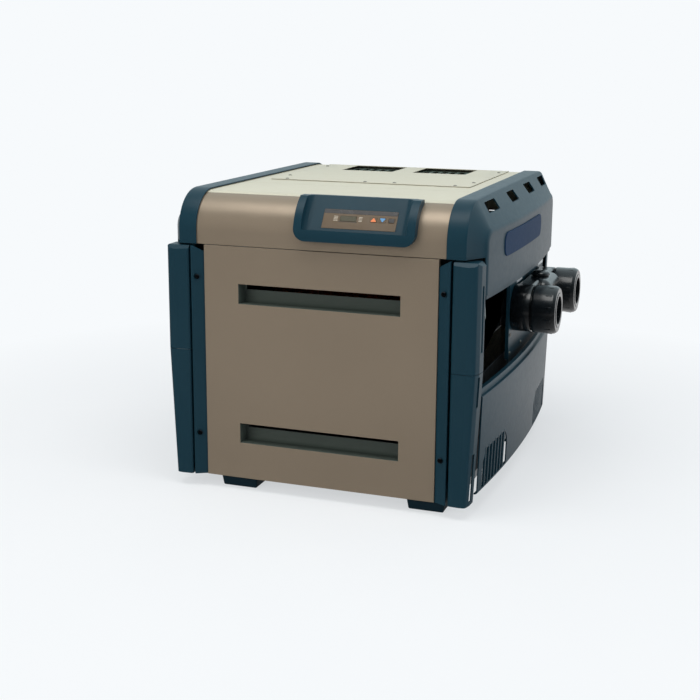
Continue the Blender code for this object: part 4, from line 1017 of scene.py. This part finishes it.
def pan_screw(name, place, direction, size=1.0, shank=None):
    """A domed head with a cross recess. place is the top of the head, direction points into the panel."""
    place, direction = Vector(place), Vector(direction)
    profile = [(along * size, radius * size) for along, radius in PAN_HEAD]
    if shank:
        profile = profile[:-1] + [(2.7 * size, 2.1), (shank, 2.1), (shank + 2, 0.01)]
    screw = turned(name, profile, place, direction, 40, closed=False)
    side = direction.orthogonal().normalized()
    for index in range(2):
        arm = side if index == 0 else direction.cross(side)
        start, end = place - arm * 2.6 * size * MM, place + arm * 2.6 * size * MM
        cut(screw, rod(f"{name}_recess_{index}", start, end, 0.75 * size, segments=4))
    screw.data.shade_smooth()
    screw.data.set_sharp_from_angle(angle=math.radians(40))
    return screw


def make_panel_screw(side, sign, level):
    place = at(sign * SCREW_X, -10.2, SCREW_ZS[level])
    screw = pan_screw(f"{side}_{level}_screw", place, (0, 1, 0), shank=32.0)
    return finish_piece(screw, "screw_black", "access_panel", [f"panel_screw_{level}_{side}"])


# ---------------------------------------------------------------- control hood and keypad

PAD_FOOT, PAD_HEAD = Vector((-5.0, 545.0)), Vector((45.0, 618.0))
PAD_RUN = (PAD_HEAD - PAD_FOOT).normalized()
PAD_LENGTH = (PAD_HEAD - PAD_FOOT).length
POCKET_X = (-12.0, 167.0)
PAD_X = (6.4, 155.6)
PAD_SLOPE = (12.4, 53.6)
PAD_TOP = 0.4


def on_pad(x, slope, out):
    """A point on the sloping pad: along the hood, up the slope and out of it."""
    return at(x, PAD_FOOT.x + slope * PAD_RUN.x - out * PAD_RUN.y, PAD_FOOT.y + slope * PAD_RUN.y + out * PAD_RUN.x)


PLACE["pad"] = on_pad


def slope_point(slope, out):
    return PAD_FOOT.x + slope * PAD_RUN.x - out * PAD_RUN.y, PAD_FOOT.y + slope * PAD_RUN.y + out * PAD_RUN.x


PLACE["slope"] = lambda x, out, slope: on_pad(x, slope, out)
POCKET_FLARE = 17.0
HOOD_TOP_Z = HOOD_HIGH.z


def hood_blank():
    """The crescent over the rounded edge, with its outer edges rounded off."""
    centre = (CORNER_RADIUS, CORNER_Z)
    outline = arc(centre, HOOD_RADIUS, 184, 118, 44) + [(46, HOOD_TOP_Z + 2.5)]
    outline += arc(centre, CORNER_RADIUS + 0.4, 112, 183, 36)
    hood = prism("hood", outline, "x", *HOOD_X)
    radius, low = 24.0, 529.5
    for x, turn in ((HOOD_X[0], 1.0), (HOOD_X[1], -1.0)):
        curve = arc((x + turn * radius, low + radius), radius, 270, 270 - turn * 90, 16)
        edge = x - turn * 5
        corner = [(edge, low - 5), (curve[0][0], low - 5)] + curve + [(edge, low + radius)]
        cut(hood, prism("hood_corner", corner, "y", -40, 14))

    def outer(vertex):
        reach = math.hypot(vertex.co.y - FRONT_Y - CORNER_RADIUS * MM, vertex.co.z - CORNER_Z * MM)
        return reach > (HOOD_RADIUS - 0.6) * MM

    return bevel_edges(
        hood, 4.6, 5, lambda edge: all(outer(v) for v in edge.verts) and edge.calc_face_angle(0) > 0.6,
    )


def pocket_cutter():
    """The sloping pocket's space: a flat floor whose ends curve up into the side walls."""
    left, right = POCKET_X
    flare = POCKET_FLARE
    outline = [(left - flare, 40)] + arc((left, flare), flare, 180, 270, 14)
    outline += arc((right, flare), flare, 270, 360, 14) + [(right + flare, 40)]
    return prism("hood_pocket", outline, "slope", 0.0, PAD_LENGTH + 8)


def round_bar(hood):
    """Rounds the top edge of the bar below the pocket."""
    def slope_and_out(vertex):
        y, z = (vertex.co.y - FRONT_Y) / MM - PAD_FOOT.x, vertex.co.z / MM - PAD_FOOT.y
        return y * PAD_RUN.x + z * PAD_RUN.y, z * PAD_RUN.x - y * PAD_RUN.y

    def chosen(edge):
        places = [slope_and_out(vertex) for vertex in edge.verts]
        return all(abs(slope) < 0.2 and out > 4.0 for slope, out in places) and edge.calc_face_angle(0) > 0.4

    return bevel_edges(hood, 2.4, 4, chosen)


def make_hood():
    hood = hood_blank()
    tub = [slope_point(-2, -7), slope_point(PAD_LENGTH + 2, -7), slope_point(PAD_LENGTH + 2, 3), slope_point(-2, 3)]
    join(hood, prism("hood_tub", tub, "x", *TUB_X))
    cut(hood, pocket_cutter())
    trim = (HOOD_X[0] - 10, -30, HOOD_TOP_Z), (HOOD_X[1] + 10, 90, HOOD_TOP_Z + 30)
    cut(hood, boxes("hood_trim", [trim]))
    round_bar(hood)
    recess = round_points([(6, 12, 2), (156, 12, 2), (156, 54, 2), (6, 54, 2)], 5)
    cut(hood, prism("hood_recess", recess, "pad", -3.4, 6))
    soften(hood, 0.9, 3, angle=38)
    return finish_piece(hood, "slate_plastic", "root", ["control_hood"])


LENS = ((41.0, 29.0), (74.0, 40.0))
KEYS = {"key_up": (109.0, "key_orange"), "key_down": (127.0, "key_blue"), "key_mode": (145.0, "keypad_strip")}
KEY_SLOPE = 34.5
KEY_HALF = (6.5, 5.0)


def pad_rectangle(low, high, radius, steps=5):
    corners = [(low[0], low[1], radius), (high[0], low[1], radius), (high[0], high[1], radius), (low[0], high[1], radius)]
    return round_points(corners, steps)


def pad_plate(name, low, high, radius, bottom, top, material, body="root", stands_for=(), edge=0.15):
    plate = prism(name, pad_rectangle(low, high, radius), "pad", bottom, top)
    soften(plate, edge, 2)
    return finish_piece(plate, material, body, stands_for)


def make_keypad():
    film = prism("keypad_film", pad_rectangle((PAD_X[0], PAD_SLOPE[0]), (PAD_X[1], PAD_SLOPE[1]), 2.0), "pad", -3.0, PAD_TOP)
    (low, high) = LENS
    lens_hole = pad_rectangle((low[0] - 0.4, low[1] - 0.4), (high[0] + 0.4, high[1] + 0.4), 1.0)
    cut(film, prism("lens_hole", lens_hole, "pad", -1.8, 5))
    for name, (x, _) in KEYS.items():
        hole = pad_rectangle(
            (x - KEY_HALF[0] - 0.4, KEY_SLOPE - KEY_HALF[1] - 0.4), (x + KEY_HALF[0] + 0.4, KEY_SLOPE + KEY_HALF[1] + 0.4), 1.8,
        )
        cut(film, prism(f"{name}_hole", hole, "pad", -6, 6))
    soften(film, 0.15, 2)
    finish_piece(film, "keypad_film", "root", ["keypad"])
    pad_plate("keypad_strip", (6.9, 44.6), (155.1, 53.2), 1.4, 0.3, 0.62, "keypad_strip")
    pad_plate("display_border", (38.2, 27.0), (76.8, 27.9), 0.4, 0.3, 0.55, "keypad_strip")
    for index in range(4):
        slope = 29.6 + index * 2.9
        pad_plate(f"tick_left_{index}", (28.0, slope), (36.5, slope + 0.9), 0.3, 0.3, 0.5, "cream_print")
        pad_plate(f"tick_right_{index}", (79.0, slope), (86.0, slope + 0.9), 0.3, 0.3, 0.5, "cream_print")
    pad_plate("display", low, high, 0.8, -1.4, 0.7, "display_lens", "root", ["display_lens"], 0.25)


def make_key(name, x, material):
    """A film-covered key, with its raised coloured mark."""
    low, high = (x - KEY_HALF[0], KEY_SLOPE - KEY_HALF[1]), (x + KEY_HALF[0], KEY_SLOPE + KEY_HALF[1])
    pad_plate(f"{name}_cap", low, high, 1.6, -2.2, 0.8, "keypad_film", name, [name], 0.3)
    turn = {"key_up": 1.0, "key_down": -1.0, "key_mode": 0.0}[name]
    if turn:
        base, tip = KEY_SLOPE - 4.2 * turn, KEY_SLOPE + 4.6 * turn
        corners = [(x - 6.1, base, 0.9), (x + 6.1, base, 0.9), (x, tip, 0.9)]
    else:
        corners = [(x + a, KEY_SLOPE + b, 1.0) for a, b in ((-5.6, -4.2), (5.6, -4.2), (5.6, 4.2), (-5.6, 4.2))]
    mark = prism(f"{name}_mark", round_points(corners, 5), "pad", 0.6, 1.3)
    soften(mark, 0.25, 3)
    return finish_piece(mark, material, name)


# ---------------------------------------------------------------- pipe ports

NUT_X = 351.0
NUT_PROFILE = (
    (0.0, 44.3), (22.5, 44.3), (22.5, 44.0), (30.5, 44.0), (30.5, 37.6), (51.2, 37.6), (52.0, 38.4),
    (52.0, 46.8), (50.6, 48.6), (46.0, 51.2), (43.0, 51.5), (5.0, 51.5), (2.0, 51.2), (0.6, 50.4), (0.0, 49.4),
)
NUT_RIBS = 12
TAIL_PROFILE = (
    (22.0, 26.5), (22.0, 43.0), (22.4, 43.2), (29.4, 43.2), (29.8, 42.8), (29.8, 37.0), (52.2, 37.0), (53.0, 36.2),
    (53.0, 31.0), (52.2, 30.2), (28.0, 30.2), (28.0, 26.5),
)


def make_union(port):
    place = at(NUT_X, PORT_YS[port], PORT_Z)
    nut = turned(f"{port}_nut", NUT_PROFILE, place, (1, 0, 0), 96)
    for index in range(NUT_RIBS):
        angle = math.tau * (index + 0.5) / NUT_RIBS
        outward = Vector((0, math.cos(angle), math.sin(angle)))
        across_rib = Vector((0, -math.sin(angle), math.cos(angle)))
        section = [(-2.2, 49.0), (-2.0, 51.9), (-1.1, 52.4), (1.1, 52.4), (2.0, 51.9), (2.2, 49.0)]
        bm = bmesh.new()
        ends = []
        for along, drop in ((30.0, 0.6), (42.0, 0.0), (44.0, 1.6)):
            ring = []
            for a, b in section:
                spot = place + Vector((along, 0, 0)) * MM + across_rib * a * MM + outward * (b - (drop if b > 50 else 0)) * MM
                ring.append(bm.verts.new(spot))
            ends.append(ring)
        for first, second in zip(ends, ends[1:]):
            for i in range(len(section)):
                j = (i + 1) % len(section)
                bm.faces.new((first[i], first[j], second[j], second[i]))
        bm.faces.new(ends[0][::-1])
        bm.faces.new(ends[-1])
        join(nut, link(f"{port}_rib_{index}", mesh_of(f"{port}_rib_{index}", bm)))
    soften(nut, 0.5, 2, angle=35)
    finish_piece(nut, "black_plastic", f"{port}_nut", [f"{port}_union_nut"])
    tail = turned(f"{port}_tail", TAIL_PROFILE, place, (1, 0, 0), 96)
    tail.data.shade_smooth()
    tail.data.set_sharp_from_angle(angle=math.radians(40))
    finish_piece(tail, "black_plastic", f"{port}_tailpiece", [f"{port}_tailpiece"])


COLLAR_PROFILE = (
    (0, 43.5), (28, 43.5), (28, 49.4), (28.5, 50.4), (29.6, 50.8), (66.4, 50.8), (68.2, 50.2), (69, 48.6),
    (69, 43.5), (91, 43.5), (92, 42.5), (92, 27), (0, 27),
)
BYPASS_PLACE = (338.0, 516.0)
PLUG_PROFILE = (
    (0, 0.01), (0, 16.4), (8.6, 16.4), (8.6, 19.4), (9.4, 20.6), (10.6, 21.0), (13.4, 20.8), (15.8, 19.4),
    (17.6, 16.4), (18.6, 12.0), (19.0, 6.0), (19.1, 0.01),
)


def rounded_box(name, low, high, width, segments=6):
    return bevel_edges(boxes(name, [(low, high)]), width, segments, lambda edge: edge.calc_face_angle(0) > 0.6)


def make_water_header():
    """Water box inside, two turned port collars, and the rounded bypass housing between them."""
    low, high = node_box("water_header")
    box = rounded_box("header_box", (231.6, low.y, 300), (284, high.y, 384), 12.0, 5)
    box.data.shade_smooth()
    finish_piece(box, "black_plastic", "root", ["water_header"])
    for port, y in PORT_YS.items():
        collar = turned(f"{port}_collar", COLLAR_PROFILE, at(280, y, PORT_Z), (1, 0, 0), 96)
        collar.data.shade_smooth()
        collar.data.set_sharp_from_angle(angle=math.radians(40))
        finish_piece(collar, "black_plastic")
    rear = rounded_box("bypass_rear", (309, 396, 309), (349, 636, 397), 9.0)
    dome = rounded_box("bypass_dome", (318, 450, 307.5), (373, 582, 398), 21.0, 10)
    for body in (rear, dome):
        cut(body, rod("bypass_seat", at(*BYPASS_PLACE, 322), at(*BYPASS_PLACE, 342), 9.0, segments=32))
        cut(body, rod("bypass_chamber", at(*BYPASS_PLACE, 340), at(*BYPASS_PLACE, 410), 17.0, segments=48))
        body.data.shade_smooth()
        body.data.set_sharp_from_angle(angle=math.radians(35))
        normals = body.modifiers.new("Normals", "WEIGHTED_NORMAL")
        normals.keep_sharp = True
        finish_piece(body, "black_plastic")
    plug = turned("bypass_plug", PLUG_PROFILE, at(*BYPASS_PLACE, 390), (0, 0, 1), 64, closed=False)
    plug.data.shade_smooth()
    plug.data.set_sharp_from_angle(angle=math.radians(50))
    finish_piece(plug, "black_plastic", "root", ["bypass_cap"])


# ---------------------------------------------------------------- small fittings

def make_labels():
    """Blank labels and small screws on the service plates."""
    face = 307.0
    for name, y, z in (("near", 437.0, 409.0), ("far", 672.0, 409.0)):
        label = boxes(f"{name}_blank_label", [((face + 0.05, y - 28, z - 12), (face + 0.45, y + 28, z + 12))])
        finish_piece(label, "label_white")
    for index, (y, z) in enumerate(((357, 252), (357, 420), (470, 252), (590, 252), (696, 252), (696, 428), (357, 292))):
        screw = pan_screw(f"plate_screw_{index}", at(face + 2.2, y, z), (-1, 0, 0), 0.85)
        finish_piece(screw, "screw_zinc")
    for index, (y, z) in enumerate(((80, 252), (80, 428), (380, 252), (380, 428), (692, 252), (692, 428))):
        screw = pan_screw(f"gas_side_screw_{index}", at(-face - 2.2, y, z), (1, 0, 0), 0.85)
        finish_piece(screw, "screw_zinc")


def make_top_screws():
    top = node_box("exhaust_cover")[1].z
    places = [(-212, 380), (212, 380), (-212, 620), (212, 620), (-190, 310), (-10, 310), (55, 314), (190, 308)]
    for index, (x, y) in enumerate(places):
        finish_piece(pan_screw(f"cover_screw_{index}", at(x, y, top + 2.0), (0, 0, -1), 0.8), "screw_zinc")

def make_rear_screws():
    for index, (x, z) in enumerate(((-245, 60), (245, 60), (-245, 270), (245, 270), (-245, 480), (245, 480))):
        place = at(x, DEPTH + 2.1, z)
        finish_piece(pan_screw(f"rear_screw_{index}", place, (0, -1, 0), 0.9), "screw_zinc")


def make_wiring():
    """Tubes and wires behind the opening beside the ports."""
    tube("drain_hose", [(272, 262, 322), (276, 236, 330), (282, 214, 352), (284, 196, 392)], 4.2, "clear_tube")
    tube("switch_wire_a", [(262, 262, 426), (266, 240, 424), (276, 200, 412), (282, 150, 400)], 1.8, "wire_black")
    tube("switch_wire_b", [(268, 256, 426), (272, 230, 418), (280, 190, 396), (283, 140, 372)], 1.8, "wire_red")
    tube("loom", [(283, 120, 300), (281, 170, 330), (278, 215, 372), (270, 255, 396)], 3.2, "wire_grey")


# ---------------------------------------------------------------- stage, light and camera

BACKDROP = (0.93, 0.955, 0.975, 1)


def mix_shader(tree, share, first, second):
    made = tree.nodes.new("ShaderNodeMixShader")
    tree.links.new(share, made.inputs[0])
    tree.links.new(first, made.inputs[1])
    tree.links.new(second, made.inputs[2])
    return made.outputs[0]


def make_stage():
    """A pale floor. Far off it fades into the backdrop. Reflections see it dark, but for a band in front."""
    bm = bmesh.new()
    bmesh.ops.create_grid(bm, x_segments=1, y_segments=1, size=30.0)
    floor = link("floor", mesh_of("floor", bm))
    look = Shader("pale_floor", 0.75)
    look.colour(look.mix(look.spread(look.noise(3.0), 0, 1), (0.86, 0.875, 0.89, 1), (0.89, 0.9, 0.91, 1)))
    look.set(Specular_IOR_Level=0.0)
    path = look.add("ShaderNodeLightPath")
    distance = look.add("ShaderNodeVectorMath", operation="LENGTH")
    look.feed(distance.inputs[0], look.place)
    far = look.spread(distance.outputs["Value"], 0.6, 1, 0.5, 1.5)
    seen = look.add("ShaderNodeMath", operation="MULTIPLY")
    look.feed(seen.inputs[0], far)
    look.feed(seen.inputs[1], path.outputs["Is Camera Ray"])
    backdrop = look.add("ShaderNodeEmission")
    backdrop.inputs["Color"].default_value = BACKDROP
    split = look.add("ShaderNodeSeparateXYZ")
    look.feed(split.inputs[0], look.place)
    mirrored = look.add("ShaderNodeEmission")
    behind = look.spread(split.outputs["Y"], 0.04, 0.8, -0.6, 0.6)
    offset = look.add("ShaderNodeMath", operation="ADD")
    look.feed(offset.inputs[0], split.outputs["Y"])
    offset.inputs[1].default_value = 1.5
    away = look.add("ShaderNodeMath", operation="ABSOLUTE")
    look.feed(away.inputs[0], offset.outputs[0])
    strongest = look.add("ShaderNodeMath", operation="MAXIMUM")
    look.feed(strongest.inputs[0], behind)
    look.feed(strongest.inputs[1], look.spread(away.outputs[0], 0.36, 0.04, 0.0, 1.0))
    look.feed(mirrored.inputs["Strength"], strongest.outputs[0])
    near = mix_shader(look.tree, seen.outputs[0], look.main.outputs[0], backdrop.outputs[0])
    shown = mix_shader(look.tree, path.outputs["Is Glossy Ray"], near, mirrored.outputs[0])
    look.tree.links.new(shown, look.tree.nodes["Material Output"].inputs["Surface"])
    floor.data.materials.append(look.material)


def make_world():
    """Pale to the camera, even in diffuse light and, in reflections, dark in front and bright behind."""
    world = bpy.data.worlds.new("studio")
    bpy.context.scene.world = world
    world.use_nodes = True
    tree = world.node_tree
    tree.nodes.clear()
    output = tree.nodes.new("ShaderNodeOutputWorld")
    path = tree.nodes.new("ShaderNodeLightPath")
    seen, lit, mirrored = (tree.nodes.new("ShaderNodeBackground") for _ in range(3))
    seen.inputs["Color"].default_value = BACKDROP
    mirrored.inputs["Color"].default_value = (0.8, 0.95, 1.0, 1)
    lit.inputs["Color"].default_value = (0.72, 0.78, 0.82, 1)
    lit.inputs["Strength"].default_value = 0.55
    place = tree.nodes.new("ShaderNodeTexCoord")
    split = tree.nodes.new("ShaderNodeSeparateXYZ")
    tree.links.new(place.outputs["Generated"], split.inputs[0])
    ranges = []
    for axis, low, high, dark, bright in (("Y", -0.5, 0.35, 0.05, 0.85), ("Z", 0.5, 0.95, 0.0, 0.8)):
        made = tree.nodes.new("ShaderNodeMapRange")
        tree.links.new(split.outputs[axis], made.inputs["Value"])
        for key, number in (("From Min", low), ("From Max", high), ("To Min", dark), ("To Max", bright)):
            made.inputs[key].default_value = number
        ranges.append(made.outputs["Result"])
    strongest = tree.nodes.new("ShaderNodeMath")
    strongest.operation = "MAXIMUM"
    tree.links.new(ranges[0], strongest.inputs[0])
    tree.links.new(ranges[1], strongest.inputs[1])
    tree.links.new(strongest.outputs[0], mirrored.inputs["Strength"])
    unseen = mix_shader(tree, path.outputs["Is Glossy Ray"], lit.outputs[0], mirrored.outputs[0])
    shown = mix_shader(tree, path.outputs["Is Camera Ray"], unseen, seen.outputs[0])
    tree.links.new(shown, output.inputs[0])


def soft_light(name, place, target, size, watts, colour, mirrored=True):
    light = bpy.data.lights.new(name, "AREA")
    light.shape = "RECTANGLE"
    light.size, light.size_y = size
    light.energy = watts
    light.color = colour
    obj = bpy.data.objects.new(name, light)
    bpy.context.scene.collection.objects.link(obj)
    obj.visible_glossy = mirrored
    obj.location = place
    obj.rotation_euler = (Vector(target) - Vector(place)).to_track_quat("-Z", "Y").to_euler()


def make_lights():
    soft_light("overhead", (0.1, -0.9, 2.6), (0, -0.1, 0.4), (2.6, 1.2), 30, (1.0, 0.98, 0.95))
    soft_light("overhead_fill", (0.1, -0.9, 2.6), (0, -0.1, 0.4), (2.6, 1.2), 14, (1.0, 0.98, 0.95), mirrored=False)
    soft_light("front_fill", (-1.2, -3.0, 1.4), (0, 0, 0.3), (2.0, 1.6), 34, (1.0, 0.97, 0.93), mirrored=False)
    soft_light("side_fill", (3.0, -0.6, 1.3), (0.2, 0, 0.3), (1.6, 1.6), 22, (0.92, 0.96, 1.0), mirrored=False)


CAMERA_PLACE = (849.33, -2206.11, 890.90)
CAMERA_YAW, CAMERA_PITCH, CAMERA_ROLL = 0.340493, 0.223507, 0.0064555
CAMERA_FOCAL = 63.558
CAMERA_SHIFT_Y = -0.0286


def make_camera():
    """A long lens from the front right, a little above the heater."""
    yaw, pitch, roll = CAMERA_YAW, CAMERA_PITCH, CAMERA_ROLL
    forward = Vector((-math.sin(yaw) * math.cos(pitch), math.cos(yaw) * math.cos(pitch), -math.sin(pitch)))
    right = Vector((math.cos(yaw), math.sin(yaw), 0))
    up = right.cross(forward)
    turned_right = right * math.cos(roll) + up * math.sin(roll)
    turned_up = up * math.cos(roll) - right * math.sin(roll)
    lens = bpy.data.cameras.new("photo_angle")
    lens.lens = CAMERA_FOCAL
    lens.shift_y = CAMERA_SHIFT_Y
    camera = bpy.data.objects.new("photo_angle", lens)
    bpy.context.scene.collection.objects.link(camera)
    turn = Matrix((turned_right, turned_up, -forward)).transposed().to_4x4()
    camera.matrix_world = Matrix.Translation(at(*CAMERA_PLACE)) @ turn
    bpy.context.scene.camera = camera


# ---------------------------------------------------------------- assembly


def main():
    dress_kept_nodes()
    make_front_panel()
    make_upper_front_panel()
    for side, sign in SIDES.items():
        make_end_cap(side, sign)
        make_badge(side, sign)
        make_lower_panel(side, sign)
        make_upper_post(side, sign)
        make_lower_post(side, sign)
        make_rear_post(side, sign)
        make_trim_strip(side, sign)
        for level in SCREW_ZS:
            make_panel_screw(side, sign, level)
    make_hood()
    make_keypad()
    for name, (x, material) in KEYS.items():
        make_key(name, x, material)
    for port in PORT_YS:
        make_union(port)
    make_water_header()
    make_labels()
    make_top_screws()
    make_rear_screws()
    make_wiring()
    make_stage()
    make_world()
    make_lights()
    make_camera()
    bpy.context.scene.view_settings.view_transform = "Standard"


main()
